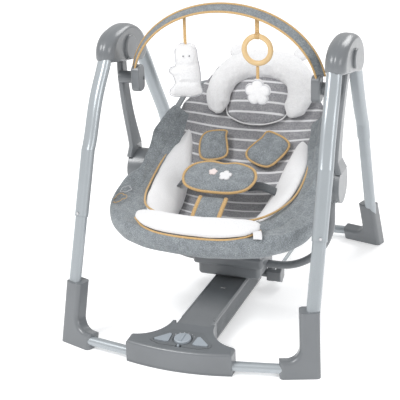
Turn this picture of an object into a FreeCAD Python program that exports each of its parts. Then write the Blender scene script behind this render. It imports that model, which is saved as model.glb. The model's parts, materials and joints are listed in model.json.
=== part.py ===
import FreeCAD, Part
import math
import os

# Portable baby swing.  Millimetres, +Z up, +X to the sitter's left, the open front of the seat at -Y.
# The origin is on the floor, at the centre of the footprint.

V = FreeCAD.Vector
X_AXIS = V(1, 0, 0)
Y_AXIS = V(0, 1, 0)
Z_AXIS = V(0, 0, 1)
ORIGIN = V(0, 0, 0)

# Overall
HALF_DEPTH = 363.0            # floor reach to the front and to the back
TUBE_Z = 15.0                 # height of the crossbars
TUBE_R = 9.2                  # crossbar radius
WALL = 1.4                    # wall of the steel tubes
GAP = 0.4                     # clearance between parts that move past each other
RUN_FIT = 0.05                # radial clearance of a pin in its bore

# Pivots, as (y, z) pairs
SWING_AXIS = (-10.0, 525.0)
REAR_PIVOT = (45.0, 500.0)
RECLINE_AXIS = (0.0, 257.0)
TOY_BAR_AXIS = (-40.0, 458.0)
SPINE_HINGE = (-270.0, 26.0)
KNEE = (40.0, 28.0)
REAR_BAR_Y = 347.5
SWING_PIN_R = 6.0
REAR_PIN_R = 5.0
HINGE_PIN_R = 4.0

# Legs: flat oval tubes.  A station is (x, y, z) on the centreline of the right-hand leg.
OVAL_LONG = 28.6
OVAL_SHORT = 19.6
LOWER_LONG = 25.4
LOWER_SHORT = 16.4
FRONT_TURN = 20.0             # plan angle of the long side of the section, degrees
REAR_TURN = -16.0
FRONT_TOP = [(226, -98, 514), (228, -118, 480), (230, -144, 440), (231, -166, 395), (233, -188, 350)]
FRONT_END = (235, -291, 84)
FRONT_SEAM_Z = 231.0
REAR_TOP = [(225, 60, 500), (224, 82, 470), (223, 110, 425), (222, 140, 378), (222, 172, 332)]
REAR_END = (219, 298.5, 78)
REAR_SEAM_Z = 295.0
INSERT = 40.0                 # length of lower leg inside the upper one
FOOT_THICK = 31.0
FOOT_WIDTH = 37.0
FRONT_CORNER = (253.5, -298, 0)
FRONT_LEAN = -12.0
FRONT_REACH = 74.0            # length of the level sleeve of a front foot
REAR_CORNER = (241, 324.5, 0)
REAR_LEAN = 19.0
REAR_REACH = 90.0
SLEEVE_TOP = 30.0             # height of the level part of a foot
FRONT_RIM_Z = 117.0
REAR_RIM_Z = 107.0

# Hubs
HUB_MID_X = 228.0
HUB_IN_X = 207.0
HUB_OUT_X = 247.0
HUB_CAVITY = (210.4, 241.0)
HUB_FACE = (-24.0, 515.0)      # centre of the round boss and of the release button

# Control housing, spine and tee bar
HOUSING_TOP = 47.0
HOUSING_HALF = 103.0
SPINE_HALF = 35.0
SPINE_BOTTOM = 7.0
SKIN = 2.5
PANEL_Y = -323.0
PANEL_Z = 45.5
PANEL_TILT = 5.0
KNOB_R = 16.0
TEE_HALF = 86.0
ROD_X = 70.0
ROD_R = 4.0
KNUCKLE_R = 8.5
KNUCKLE_W = 8.0

# Swing
ARM_THICK = 13.0
ARM_STATIONS = [(228, -12, 514, 25), (227, -23, 470, 26), (223, -26, 430, 28),
                (219, -25, 390, 30), (215, -20, 350, 34), (212, -12, 310, 42)]
RECLINE_X = (183.0, 212.0)
RECLINE_R = 39.0
HANGER_X = 199.0
HANGER_Z = 68.0
HANGER_BEND = 110.0
HANGER_R = 8.0
DRIVE_HALF_X = 66.0

# Toy bar: an elliptical arch, in the plane y = ARCH_Y
ARCH_Y = -50.0
ARCH_A = 190.0
ARCH_B = 149.0
ARCH_Z0 = 455.0
BAND_WIDE = 25.0
BAND_THICK = 5.0
BAND_TILT = 30.0
CLIP_X = (173.0, 190.0)

# Seat
SEAT_HALF = 128.0
PAD_THICK = 20.0
PAD_EDGE = [(95, -222), (118, -165), (124, -100), (127, -40), (136, 20), (149, 75), (156, 120),
            (138, 148), (118, 172), (108, 196)]
BOLSTER_R = 28.0
SEAT_ROD_R = 6.0
SEAT_ROD_X = 172.0
PAN_LINE = [(-222, 214), (-165, 200), (-100, 196), (-40, 214), (20, 262), (110, 345), (196, 430)]
BOLSTER_PATH = [(0, -242, 205), (70, -236, 206), (130, -216, 209), (170, -172, 216), (182, -110, 230),
                (182, -50, 253), (178, 10, 285), (172, 60, 323), (160, 105, 362)]


def circle_wire(centre, normal, radius):
    return Part.Wire([Part.makeCircle(radius, V(*centre), V(*normal))])


def cylinder_x(x0, x1, y, z, radius):
    return Part.makeCylinder(radius, x1 - x0, V(x0, y, z), X_AXIS)


def cylinder_z(x, y, z0, z1, radius):
    return Part.makeCylinder(radius, z1 - z0, V(x, y, z0), Z_AXIS)


def box(x0, y0, z0, x1, y1, z1):
    return Part.makeBox(x1 - x0, y1 - y0, z1 - z0, V(x0, y0, z0))


def prism_x(points_yz, x0, x1):
    wire = Part.makePolygon([V(x0, y, z) for y, z in points_yz] + [V(x0, *points_yz[0])])
    return Part.Face(wire).extrude(V(x1 - x0, 0, 0))


def prism_z(points_xy, z0, z1):
    wire = Part.makePolygon([V(x, y, z0) for x, y in points_xy] + [V(*points_xy[0], z0)])
    return Part.Face(wire).extrude(V(0, 0, z1 - z0))


def rounded_box(x0, y0, z0, x1, y1, z1, radius):
    body = box(x0, y0, z0, x1, y1, z1)
    return body.makeFillet(radius, body.Edges)


def mirrored(shape):
    return shape.mirror(ORIGIN, X_AXIS)


def both_sides(shape):
    return Part.makeCompound([shape, mirrored(shape)])


def save(name, shape):
    shape.exportStep("parts/" + name + ".step")


def save_pair(name, right):
    save(name + "_right", right)
    save(name + "_left", mirrored(right))


# ---------------------------------------------------------------- legs

def oval_wire(centre, tangent, turn_deg, long_side, short_side):
    """A stadium-like oval across the tangent; its long side points along the plan angle turn_deg."""
    tangent = V(*tangent).normalize()
    turn = math.radians(turn_deg)
    along = V(math.cos(turn), math.sin(turn), 0)
    along = (along - tangent * along.dot(tangent)).normalize()
    across = tangent.cross(along)
    reach = (long_side - short_side) / 2
    half = short_side / 2
    c = V(*centre)
    corner = [c + along * reach + across * half, c - along * reach + across * half,
              c - along * reach - across * half, c + along * reach - across * half]
    left_mid = c - along * (reach + half)
    right_mid = c + along * (reach + half)
    edges = [Part.makeLine(corner[0], corner[1]),
             Part.Arc(corner[1], left_mid, corner[2]).toShape(),
             Part.makeLine(corner[2], corner[3]),
             Part.Arc(corner[3], right_mid, corner[0]).toShape()]
    return Part.Wire(edges)


def tangent_at(stations, i):
    a = stations[max(i - 1, 0)]
    b = stations[min(i + 1, len(stations) - 1)]
    return [q - p for p, q in zip(a, b)]


def oval_loft(stations, turn_deg, long_side, short_side):
    """Smooth along the bent stations; the last stretch is straight."""
    wires = []
    last = len(stations) - 1
    for i, station in enumerate(stations):
        tangent = tangent_at(stations, i)
        if i >= last - 1:
            tangent = [b - a for a, b in zip(stations[last - 1], stations[last])]
        wires.append(oval_wire(station, tangent, turn_deg, long_side, short_side))
    straight = Part.makeLoft(wires[-2:], True, True)
    if last < 2:
        return straight
    return Part.makeLoft(wires[:-1], True, False).fuse(straight).removeSplitter()


def oval_tube(stations, turn_deg, long_side, short_side):
    outer = oval_loft(stations, turn_deg, long_side, short_side)
    inner = oval_loft(stations, turn_deg, long_side - 2 * WALL, short_side - 2 * WALL)
    return outer.cut(inner)


def point_at_z(start, end, z):
    t = (start[2] - z) / (start[2] - end[2])
    return tuple(a + (b - a) * t for a, b in zip(start, end))


def leg_lines(top, end, seam_z):
    """Stations of the upper tube, down to its seam, and the two ends of the lower tube."""
    knee = top[-1]
    seam = point_at_z(knee, end, seam_z)
    plug = point_at_z(knee, end, seam_z + INSERT)
    upper = top + [seam]
    return upper, [plug, end]


def front_legs():
    upper, lower = leg_lines(FRONT_TOP, FRONT_END, FRONT_SEAM_Z)
    save_pair("front_leg_upper", oval_tube(upper, FRONT_TURN, OVAL_LONG, OVAL_SHORT))
    save_pair("front_leg_lower", oval_tube(lower, FRONT_TURN, LOWER_LONG, LOWER_SHORT))


def rear_knuckle():
    """The flattened eye that carries the rear leg on its pivot pin."""
    y, z = REAR_PIVOT
    eye = cylinder_x(HUB_MID_X - 8, HUB_MID_X + 8, y, z, 13)
    bore = cylinder_x(HUB_MID_X - 9, HUB_MID_X + 9, y, z, REAR_PIN_R + RUN_FIT)
    return eye, bore


def rear_legs():
    upper, lower = leg_lines(REAR_TOP, REAR_END, REAR_SEAM_Z)
    eye, bore = rear_knuckle()
    tube = oval_tube(upper, REAR_TURN, OVAL_LONG, OVAL_SHORT)
    save_pair("rear_leg_upper", tube.fuse(eye).cut(bore))
    save_pair("rear_leg_lower", oval_tube(lower, REAR_TURN, LOWER_LONG, LOWER_SHORT))


# ---------------------------------------------------------------- feet and crossbars

def elbow_outline(width, rim, reach, sleeve_top, inner_r):
    """Foot outline in (s, z): s runs from the outer corner (0) towards the crossbar (negative)."""
    floor_dip = -20.0
    neck = -width
    points = [V(0, 0, floor_dip), V(0, 0, rim), V(neck, 0, rim), V(neck, 0, sleeve_top + inner_r)]
    arc_end = V(neck - inner_r, 0, sleeve_top)
    mid = V(neck - inner_r * (1 - math.sqrt(0.5)), 0, sleeve_top + inner_r * (1 - math.sqrt(0.5)))
    tip = V(-reach, 0, sleeve_top)
    bottom = V(-reach, 0, floor_dip)
    edges = [Part.makeLine(a, b) for a, b in zip(points, points[1:])]
    edges.append(Part.Arc(points[-1], mid, arc_end).toShape())
    edges.append(Part.makeLine(arc_end, tip))
    edges.append(Part.makeLine(tip, bottom))
    edges.append(Part.makeLine(bottom, points[0]))
    return Part.Wire(edges)


def elbow(outer_corner, direction_deg, lean_deg, width, rim, reach):
    """Moulded elbow: a leaning oval sleeve that turns into a level sleeve for the crossbar."""
    inner_r = 24.0
    face = Part.Face(elbow_outline(width, rim + 14, reach, SLEEVE_TOP, inner_r))
    body = face.extrude(V(0, FOOT_THICK, 0))
    long_edges = [e for e in body.Edges if abs(e.tangentAt(e.FirstParameter).y) < 0.1]
    body = body.makeFillet(8.0, long_edges)
    body.translate(V(0, -FOOT_THICK / 2, 0))
    body.rotate(ORIGIN, X_AXIS, lean_deg)
    body.rotate(ORIGIN, Z_AXIS, direction_deg)
    body.translate(V(*outer_corner))
    big = 400.0
    body = body.cut(box(-big, -2 * big, -big, 2 * big, 2 * big, 0))
    return body.cut(box(-big, -2 * big, rim, 2 * big, 2 * big, rim + big))


def socket_for(stations, turn_deg):
    slack = 0.3
    ends = [stations[0], tuple(stations[1])]
    return oval_loft(ends, turn_deg, LOWER_LONG + slack, LOWER_SHORT + slack)


FRONT_BAR = [(192.0, -322.0), (88.0, -341.0)]
REAR_BAR_X = 168.0


def bar_between(p, q, radius):
    a = V(p[0], p[1], TUBE_Z)
    b = V(q[0], q[1], TUBE_Z)
    return Part.makeCylinder(radius, (b - a).Length, a, b - a)


def front_feet():
    _, lower = leg_lines(FRONT_TOP, FRONT_END, FRONT_SEAM_Z)
    foot = elbow(FRONT_CORNER, FRONT_TURN - 1, FRONT_LEAN, FOOT_WIDTH, FRONT_RIM_Z, FRONT_REACH)
    foot = foot.cut(socket_for(lower, FRONT_TURN)).cut(bar_between(FRONT_BAR[0], FRONT_BAR[1], TUBE_R))
    save_pair("front_foot", foot)


def rear_feet():
    _, lower = leg_lines(REAR_TOP, REAR_END, REAR_SEAM_Z)
    foot = elbow(REAR_CORNER, REAR_TURN, REAR_LEAN, FOOT_WIDTH, REAR_RIM_Z, REAR_REACH)
    foot = foot.cut(socket_for(lower, REAR_TURN))
    foot = foot.cut(cylinder_x(0, REAR_BAR_X, REAR_BAR_Y, TUBE_Z, TUBE_R))
    save_pair("rear_foot", foot)


def crossbars():
    outer = bar_between(FRONT_BAR[0], FRONT_BAR[1], TUBE_R)
    inner = bar_between(FRONT_BAR[0], FRONT_BAR[1], TUBE_R - WALL)
    save_pair("front_crossbar", outer.cut(inner))
    half = REAR_BAR_X
    y = REAR_BAR_Y
    save("rear_crossbar", cylinder_x(-half, half, y, TUBE_Z, TUBE_R).cut(
        cylinder_x(-half, half, y, TUBE_Z, TUBE_R - WALL)))


# ---------------------------------------------------------------- hubs

HUB_OUTLINE = [(-113, 509), (-109, 529), (-88, 548), (-52, 557), (-12, 559), (26, 549), (56, 531),
               (73, 508), (75, 486), (60, 473), (34, 473), (4, 481), (-36, 487), (-70, 494), (-98, 499)]


def hub_section(x, scale):
    cy, cz = -20.0, 516.0
    points = [V(x, cy + (y - cy) * scale, cz + (z - cz) * scale) for y, z in HUB_OUTLINE]
    curve = Part.BSplineCurve()
    curve.interpolate(points, True)
    return Part.Wire([curve.toShape()])


def hub_cavity():
    x0, x1 = HUB_CAVITY
    sweep = [(-50, 430), (-46, 538), (0, 547), (36, 537), (60, 520), (88, 500), (130, 430)]
    return prism_x(sweep, x0, x1).fuse(cylinder_x(x0, x1, *REAR_PIVOT, 26.0))


def hub_shell(sections):
    upper, _ = leg_lines(FRONT_TOP, FRONT_END, FRONT_SEAM_Z)
    shell = Part.makeLoft([hub_section(x, s) for x, s in sections], True, False)
    shell = shell.cut(hub_cavity())
    shell = shell.cut(oval_loft(upper, FRONT_TURN, OVAL_LONG, OVAL_SHORT))
    for (y, z), r in ((SWING_AXIS, SWING_PIN_R), (REAR_PIVOT, REAR_PIN_R)):
        shell = shell.cut(cylinder_x(HUB_IN_X + 1.5, HUB_OUT_X - 3.5, y, z, r))
    return shell


BUTTON_R = 19.0
BUTTON_DEPTH = 2.5            # blind pocket of the release button
BUTTON_TRAVEL = 2.0
BOSS_R = 25.0


def hubs():
    inner = [(HUB_IN_X, 0.80), (HUB_IN_X + 3, 0.90), (HUB_IN_X + 9, 0.975), (HUB_MID_X, 1.0)]
    outer = [(HUB_MID_X, 1.0), (HUB_OUT_X - 9, 0.975), (HUB_OUT_X - 3, 0.90), (HUB_OUT_X, 0.80)]
    boss = cylinder_x(HUB_IN_X - 5, HUB_IN_X + 1, *HUB_FACE, BOSS_R)
    boss = boss.makeFillet(3.0, [e for e in boss.Edges if e.BoundBox.XMax < HUB_IN_X - 4])
    save_pair("hub_inner", hub_shell(inner).fuse(boss))
    outer_shell = hub_shell(outer)
    pocket = cylinder_x(HUB_OUT_X - BUTTON_DEPTH, HUB_OUT_X + 5, *HUB_FACE, BUTTON_R + GAP)
    save_pair("hub_outer", outer_shell.cut(pocket))


def fold_buttons():
    """Round release buttons in the outer face of each hub; they travel inwards."""
    back = HUB_OUT_X - BUTTON_DEPTH + BUTTON_TRAVEL + 0.2
    button = cylinder_x(back, HUB_OUT_X + 5, *HUB_FACE, BUTTON_R)
    rim = [e for e in button.Edges if e.BoundBox.XMin > HUB_OUT_X + 4]
    save_pair("fold_button", button.makeFillet(3.0, rim))


def pivot_pins():
    """Steel pins of the swing, the rear legs and the folding base."""
    pins = []
    for (y, z), radius in ((SWING_AXIS, SWING_PIN_R), (REAR_PIVOT, REAR_PIN_R)):
        pin = cylinder_x(HUB_IN_X + 1.5, HUB_OUT_X - 3.5, y, z, radius)
        pins += [pin, mirrored(pin)]
    half = SPINE_HALF + 6.0
    pins.append(cylinder_x(-half, half, *SPINE_HINGE, HINGE_PIN_R))
    save("pivot_pins", Part.makeCompound(pins))


# ---------------------------------------------------------------- control housing

def panel_place(shape):
    """Move a shape drawn about the knob's centre onto the sloping top of the housing."""
    placed = shape.copy()
    placed.rotate(ORIGIN, X_AXIS, PANEL_TILT)
    placed.translate(V(0, PANEL_Y, PANEL_Z))
    return placed


def housing_plan():
    """Bowed front edge, straight sleeve ends, and concave flanks that run back to the spine."""
    w = HOUSING_HALF
    lug = SPINE_HALF + 7.0
    front = Part.Arc(V(-w, -350, 0), V(0, -HALF_DEPTH, 0), V(w, -350, 0)).toShape()
    right_end = Part.makeLine(V(w, -350, 0), V(w, -326, 0))
    right = Part.Arc(V(w, -326, 0), V(62, -308, 0), V(lug, -262, 0)).toShape()
    back = Part.makeLine(V(lug, -262, 0), V(-lug, -262, 0))
    left = Part.Arc(V(-lug, -262, 0), V(-62, -308, 0), V(-w, -326, 0)).toShape()
    left_end = Part.makeLine(V(-w, -326, 0), V(-w, -350, 0))
    return Part.Wire([front, right_end, right, back, left, left_end])


def panel_outline(grow, z0, z1):
    """Rounded trapezium of the control panel, about the knob's centre."""
    g = grow
    points = [(-60 - g, -15 - g), (-38 - g, -24 - g), (38 + g, -24 - g), (60 + g, -15 - g),
              (58 + g, -4), (30 + g, 30 + g), (-30 - g, 30 + g), (-58 - g, -4)]
    body = prism_z(points, z0, z1)
    upright = [e for e in body.Edges if abs(e.tangentAt(e.FirstParameter).z) > 0.9]
    return body.makeFillet(5.0, upright)


def fan(side):
    """Fan-shaped button blank beside the knob."""
    points = [(side * 23, -13), (side * 30, -15), (side * 52, -13), (side * 53, -9), (side * 30, 14),
              (side * 25, 12)]
    return points


def housing():
    base_z = 5.0
    plan = Part.Face(housing_plan())
    block = plan.extrude(V(0, 0, HOUSING_TOP + 6 - base_z))
    block.translate(V(0, 0, base_z))
    above = panel_place(box(-200, -150, 0, 200, 150, 60))
    block = block.cut(above)
    top_edges = [e for e in block.Edges if e.BoundBox.ZMin > 36 and e.BoundBox.YMax < -262.5]
    block = block.makeFillet(6.0, top_edges)
    swept = cylinder_x(-SPINE_HALF - 0.6, SPINE_HALF + 0.6, *SPINE_HINGE, 22.6)
    behind = box(-SPINE_HALF - 0.6, -270, 0, SPINE_HALF + 0.6, -200, 60)
    cavity = box(-56, -350, base_z, 56, -296, 37)
    block = block.cut(swept).cut(behind).cut(cavity)
    block = block.cut(cylinder_x(-60, 60, *SPINE_HINGE, HINGE_PIN_R))
    for side in (1, -1):
        start = (side * FRONT_BAR[0][0], FRONT_BAR[0][1])
        end = (side * FRONT_BAR[1][0], FRONT_BAR[1][1])
        block = block.cut(bar_between(start, end, TUBE_R))
    block = block.cut(panel_place(panel_outline(0.0, -2.0, 5.0)))
    shaft = cylinder_z(0, 0, -30, 2, 5.0)
    ways = [prism_z(fan(s), -30, 2) for s in (1, -1)]
    ways.append(box(-6, -25, -30, 6, -19, 2))
    for way in [shaft] + ways:
        block = block.cut(panel_place(way))
    save("control_housing", block)


def housing_base():
    """Flat bottom cover, 5 mm thick, with the battery opening."""
    plan = Part.Face(housing_plan()).extrude(V(0, 0, 5.0))
    behind = box(-SPINE_HALF - 9, -292, -1, SPINE_HALF + 9, -200, 60)
    opening = box(-42, -344, -1, 42, -302, 6)
    save("housing_base", plan.cut(behind).cut(opening))
    save("battery_door", box(-41.7, -343.7, 0.5, 41.7, -302.3, 4.0))


def batteries():
    cells = [cylinder_x(x, x + 39, y, 17.0, 9.5) for x in (-41, 2) for y in (-333, -313)]
    save("batteries", Part.makeCompound(cells))


def electronics():
    save("circuit_board", box(-50, -346, 28.5, 50, -300, 30.1).cut(
        cylinder_z(0, PANEL_Y, 20, 40, 6.0)))


def faceplate():
    plate = panel_outline(-0.3, -2.0, 0.8)
    knob_hole = cylinder_z(0, 0, -3, 2, 5.2)
    plate = plate.cut(knob_hole)
    well = cylinder_z(0, 0, -0.8, 2, KNOB_R + 3.0)
    plate = plate.cut(well)
    for side in (1, -1):
        points = fan(side)
        cx = sum(p[0] for p in points) / len(points)
        cy = sum(p[1] for p in points) / len(points)
        grown = [(cx + (x - cx) * 1.05, cy + (y - cy) * 1.07) for x, y in points]
        plate = plate.cut(prism_z(grown, -3, 2))
    plate = plate.cut(box(-5.5, -25.5, -3, 5.5, -19.5, 2))
    save("control_faceplate", panel_place(plate))


def knob_and_buttons():
    """Rotary speed knob, two fan-shaped push buttons and the sliding power switch."""
    disc = cylinder_z(0, 0, -0.3, 5.0, KNOB_R)
    rim = [e for e in disc.Edges if e.BoundBox.ZMin > 4.5]
    disc = disc.makeFillet(1.6, rim)
    grip = box(-2.0, -KNOB_R + 3, 4.6, 2.0, KNOB_R - 3, 6.6)
    knob = disc.fuse(grip).fuse(cylinder_z(0, 0, -12, 0, 4.6))
    save("speed_knob", panel_place(knob))
    for side, name in ((1, "sound_button"), (-1, "volume_button")):
        points = fan(side)
        cx = sum(p[0] for p in points) / len(points)
        cy = sum(p[1] for p in points) / len(points)
        cap = prism_z([(cx + (x - cx) * 0.97, cy + (y - cy) * 0.96) for x, y in points], -6.0, 2.2)
        save(name, panel_place(cap))
    save("power_switch", panel_place(box(-2.6, -24.6, -4.0, 1.2, -20.4, 2.6)))


# ---------------------------------------------------------------- spine, tee bar and rods

def spine_profile(inset, z_low):
    """Side view of the spine: a round nose about its hinge, a level top and a rounded tail."""
    hy, hz = SPINE_HINGE
    nose = 21.8 - inset
    top = HOUSING_TOP - inset
    tail = KNEE[0] + 15.0 - inset
    rise = top - hz
    start = V(0, hy - math.sqrt(nose * nose - rise * rise), top)
    angle = math.radians(200)
    middle = V(0, hy + nose * math.cos(math.radians(160)), hz + nose * math.sin(math.radians(160)))
    end = V(0, hy + nose * math.cos(angle), hz + nose * math.sin(angle))
    low_front = V(0, hy + 9, z_low)
    low_back = V(0, tail, z_low)
    high_back = V(0, tail, top)
    return Part.Wire([Part.Arc(start, middle, end).toShape(), Part.makeLine(end, low_front),
                      Part.makeLine(low_front, low_back), Part.makeLine(low_back, high_back),
                      Part.makeLine(high_back, start)])


def spine_shell():
    half = SPINE_HALF
    outer = Part.Face(spine_profile(0.0, SPINE_BOTTOM)).extrude(V(2 * half, 0, 0))
    outer.translate(V(-half, 0, 0))
    rounded = [e for e in outer.Edges if e.BoundBox.ZMin > HOUSING_TOP - 1]
    outer = outer.makeFillet(3.0, rounded)
    hollow = box(-half + SKIN, -255, -10, half - SKIN, KNEE[0] + 11, HOUSING_TOP - SKIN)
    shell = outer.cut(hollow)
    rail = box(half - 4.5, -240, HOUSING_TOP - 0.5, half - 1.2, KNEE[0] - 14, HOUSING_TOP + 1.4)
    rail = rail.makeFillet(0.8, [e for e in rail.Edges if e.BoundBox.ZMin > HOUSING_TOP + 1])
    shell = shell.fuse(rail).fuse(mirrored(rail))
    shell = shell.cut(cylinder_x(-60, 60, *SPINE_HINGE, HINGE_PIN_R + RUN_FIT))
    shell = shell.cut(cylinder_x(-60, 60, *KNEE, TUBE_R))
    slot = prism_z([(-5, -96), (5, -96), (5, -90), (-5, -90)], HOUSING_TOP - 5, HOUSING_TOP + 1)
    shell = shell.cut(slot)
    save("spine_shell", shell)


def hexagon(x0, x1, radius):
    y, z = KNEE
    points = []
    for i in range(6):
        a = math.radians(60 * i + 30)
        points.append((y + radius * math.cos(a), z + radius * math.sin(a)))
    return prism_x(points, x0, x1)


def tee_bar():
    """Cross tube behind the spine; its six-sided end caps hold the pins that the rods turn on."""
    gap0 = ROD_X - KNUCKLE_W / 2 - GAP
    gap1 = ROD_X + KNUCKLE_W / 2 + GAP
    inner_end = 56.0
    bar = cylinder_x(-inner_end, inner_end, *KNEE, TUBE_R)
    room = cylinder_x(gap0, gap1, *KNEE, 24.0)
    front_wall = box(gap0, KNEE[0] - 30, -10, gap1, KNEE[0] - KNUCKLE_R - GAP - 1.0, 80)
    cap = hexagon(inner_end, TEE_HALF, 19.0)
    cap = cap.makeFillet(2.5, [e for e in cap.Edges if e.BoundBox.XMin > TEE_HALF - 1])
    cap = cap.cut(room.cut(front_wall))
    cap = cap.fuse(cylinder_x(gap0 - 4, TEE_HALF - 4, *KNEE, HINGE_PIN_R))
    save("tee_bar", bar.fuse(cap).fuse(mirrored(cap)))


def brace_rods():
    """Two thin links from the tee bar back to the rear crossbar, which they lie just above."""
    y, z = KNEE
    end = V(ROD_X, REAR_BAR_Y + 10, TUBE_Z + TUBE_R + ROD_R + 0.8)
    start = V(ROD_X, y + 3, z)
    rod = Part.makeCylinder(ROD_R, (end - start).Length, start, end - start)
    knuckle = cylinder_x(ROD_X - KNUCKLE_W / 2, ROD_X + KNUCKLE_W / 2, y, z, KNUCKLE_R)
    bore = cylinder_x(ROD_X - KNUCKLE_W, ROD_X + KNUCKLE_W, y, z, HINGE_PIN_R + RUN_FIT)
    save("brace_rods", both_sides(rod.fuse(knuckle).cut(bore)))


def drive_coil():
    ring = cylinder_z(0, -12, HOUSING_TOP - 18, HOUSING_TOP - 4, 19)
    save("drive_coil", ring.cut(cylinder_z(0, -12, 0, 60, 8)))


# ---------------------------------------------------------------- swing

def arm_section(x, y, z, width):
    t = ARM_THICK / 2
    w = width / 2
    r = 3.0
    flat = Part.makePolygon([V(x - t, y - w + r, z), V(x - t, y + w - r, z), V(x - t + r, y + w, z),
                             V(x + t - r, y + w, z), V(x + t, y + w - r, z), V(x + t, y - w + r, z),
                             V(x + t - r, y - w, z), V(x - t + r, y - w, z), V(x - t, y - w + r, z)])
    return flat


def swing_arm():
    y, z = SWING_AXIS
    x = ARM_STATIONS[0][0]
    t = ARM_THICK / 2
    blade = Part.makeLoft([arm_section(*s) for s in ARM_STATIONS], True, False)
    eye = cylinder_x(x - t, x + t, y, z, 18.0)
    low = ARM_STATIONS[-1]
    skirt = Part.makeLoft([arm_section(*low), arm_section(RECLINE_X[1] + t, -4, 286, 56)], True, True)
    arm = blade.fuse(eye).fuse(skirt)
    arm = arm.cut(cylinder_x(RECLINE_X[0] - 1, RECLINE_X[1] + 0.1, *RECLINE_AXIS, RECLINE_R + 0.2))
    plate = cylinder_x(RECLINE_X[1] + 0.1, RECLINE_X[1] + ARM_THICK - 3, *RECLINE_AXIS, RECLINE_R - 1)
    arm = arm.fuse(plate)
    by, bz = TOY_BAR_AXIS
    boss = cylinder_x(CLIP_X[1] + GAP, x - 4, by, bz, 12.0).fuse(
        box(x - 12, by, bz - 7, x - 3, -24, bz + 7))
    pin = cylinder_x(CLIP_X[0] + 2, CLIP_X[1] + 2, by, bz, 4.5)
    arm = arm.fuse(boss).fuse(pin)
    arm = arm.cut(cylinder_x(x - 20, x + 20, y, z, SWING_PIN_R + RUN_FIT))
    save_pair("swing_arm", arm)


def hanger_path(z_top):
    """From one recline housing, down and round, to the middle of the base."""
    x = HANGER_X
    b = HANGER_BEND
    low = HANGER_Z
    s = math.sqrt(0.5)
    edges = []
    for side in (1, -1):
        top = V(side * x, 0, z_top)
        bend = V(side * x, 0, low + b)
        middle = V(side * (x - b + b * s), 0, low + b - b * s)
        foot = V(side * (x - b), 0, low)
        edges.append((top, bend, middle, foot))
    right, left = edges
    return Part.Wire([Part.makeLine(right[0], right[1]), Part.Arc(right[1], right[2], right[3]).toShape(),
                      Part.makeLine(right[3], left[3]), Part.Arc(left[3], left[2], left[1]).toShape(),
                      Part.makeLine(left[1], left[0])])


def hanger_rod(radius):
    z_top = RECLINE_AXIS[1] - RECLINE_R + 10
    path = hanger_path(z_top)
    profile = circle_wire((HANGER_X, 0, z_top), (0, 0, -1), radius)
    return path.makePipeShell([profile], True, False)


def recline_housings():
    """Two-part drums: the seat turns in them, and the arm and the hanger tube end in them."""
    y, z = RECLINE_AXIS
    x0, x1 = RECLINE_X
    drum = cylinder_x(x0, x1, y, z, RECLINE_R)
    drum = drum.makeFillet(4.0, [e for e in drum.Edges if e.BoundBox.XMax < x0 + 1])
    drum = drum.cut(hanger_rod(HANGER_R))
    drum = drum.cut(cylinder_x(x0 - 1, x0 + 12, y, z, 14.0 + RUN_FIT))
    save_pair("recline_housing", drum)


def hanger_tube():
    tube = hanger_rod(HANGER_R).cut(hanger_rod(HANGER_R - WALL))
    save("hanger_tube", tube)


def drive_housing():
    """Moulded box under the seat, clamped round the hanger tube; its magnet faces the coil."""
    half = DRIVE_HALF_X
    low = 54.0
    lower = rounded_box(-half, -58, low, half, 40, 86, 8.0)
    lip = rounded_box(-half - 8, -66, 80, half + 8, 46, 104, 7.0)
    body = lower.fuse(lip)
    hollow = box(-half + 22, -40, low + 2, half - 22, 24, 96)
    body = body.cut(hollow).cut(hanger_rod(HANGER_R))
    save("drive_housing", body)
    magnet = box(-22, -30, 56, 22, 6, 60)
    save("drive_magnet", magnet)


# ---------------------------------------------------------------- toy bar and toys

def band_section(angle):
    """Section of the fabric-covered band, tilted so that its face looks forwards and outwards."""
    x = ARCH_A * math.cos(angle)
    z = ARCH_Z0 + ARCH_B * math.sin(angle)
    normal = V(math.cos(angle) / ARCH_A, 0, math.sin(angle) / ARCH_B).normalize()
    tilt = math.radians(BAND_TILT)
    wide = normal * math.sin(tilt) + Y_AXIS * math.cos(tilt)
    thin = normal * math.cos(tilt) - Y_AXIS * math.sin(tilt)
    c = V(x, ARCH_Y, z)
    a = wide * (BAND_WIDE / 2)
    b = thin * (BAND_THICK / 2)
    return Part.makePolygon([c + a + b, c - a + b, c - a - b, c + a - b, c + a + b])


BAND_FIRST = math.asin((480.0 - ARCH_Z0) / ARCH_B)


def toy_band():
    first = BAND_FIRST
    steps = 16
    angles = [first + (math.pi - 2 * first) * i / steps for i in range(steps + 1)]
    save("toy_band", Part.makeLoft([band_section(a) for a in angles], True, False))


def toy_clips():
    """Capsule-shaped end sockets that snap on the arms' pins and hold the band's ends."""
    x0, x1 = CLIP_X
    y, z = ARCH_Y, 460.0
    block = box(x0, y - 16, z - 26, x1, y + 16, z + 26)
    ends = [e for e in block.Edges if abs(e.tangentAt(e.FirstParameter).x) > 0.9]
    block = block.makeFillet(12.0, ends)
    block = block.makeFillet(2.5, [e for e in block.Edges if e.BoundBox.XLength < 0.1])
    by, bz = TOY_BAR_AXIS
    block = block.cut(cylinder_x(x0 - 1, x1 + 1, by, bz, 4.5 + RUN_FIT))
    angles = [BAND_FIRST, BAND_FIRST + 0.06, BAND_FIRST + 0.12]
    stub = Part.makeLoft([band_section(a) for a in angles], True, True)
    save("toy_clips", both_sides(block.cut(stub)))


TOY_LEFT_X = -79.0
TOY_RIGHT_X = 66.0
LEFT_STRAP_TOP = 585.2
RIGHT_STRAP_TOP = 589.2


def plush_animal():
    x = TOY_LEFT_X
    strap = box(x - 3, ARCH_Y - 1, 520, x + 3, ARCH_Y + 1, LEFT_STRAP_TOP)
    head = Part.makeSphere(18.0, V(x, ARCH_Y, 516))
    body = Part.makeCone(25.0, 16.0, 70.0, V(x, ARCH_Y, 430), Z_AXIS)
    save("plush_animal", strap.fuse(head).fuse(body))


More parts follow.
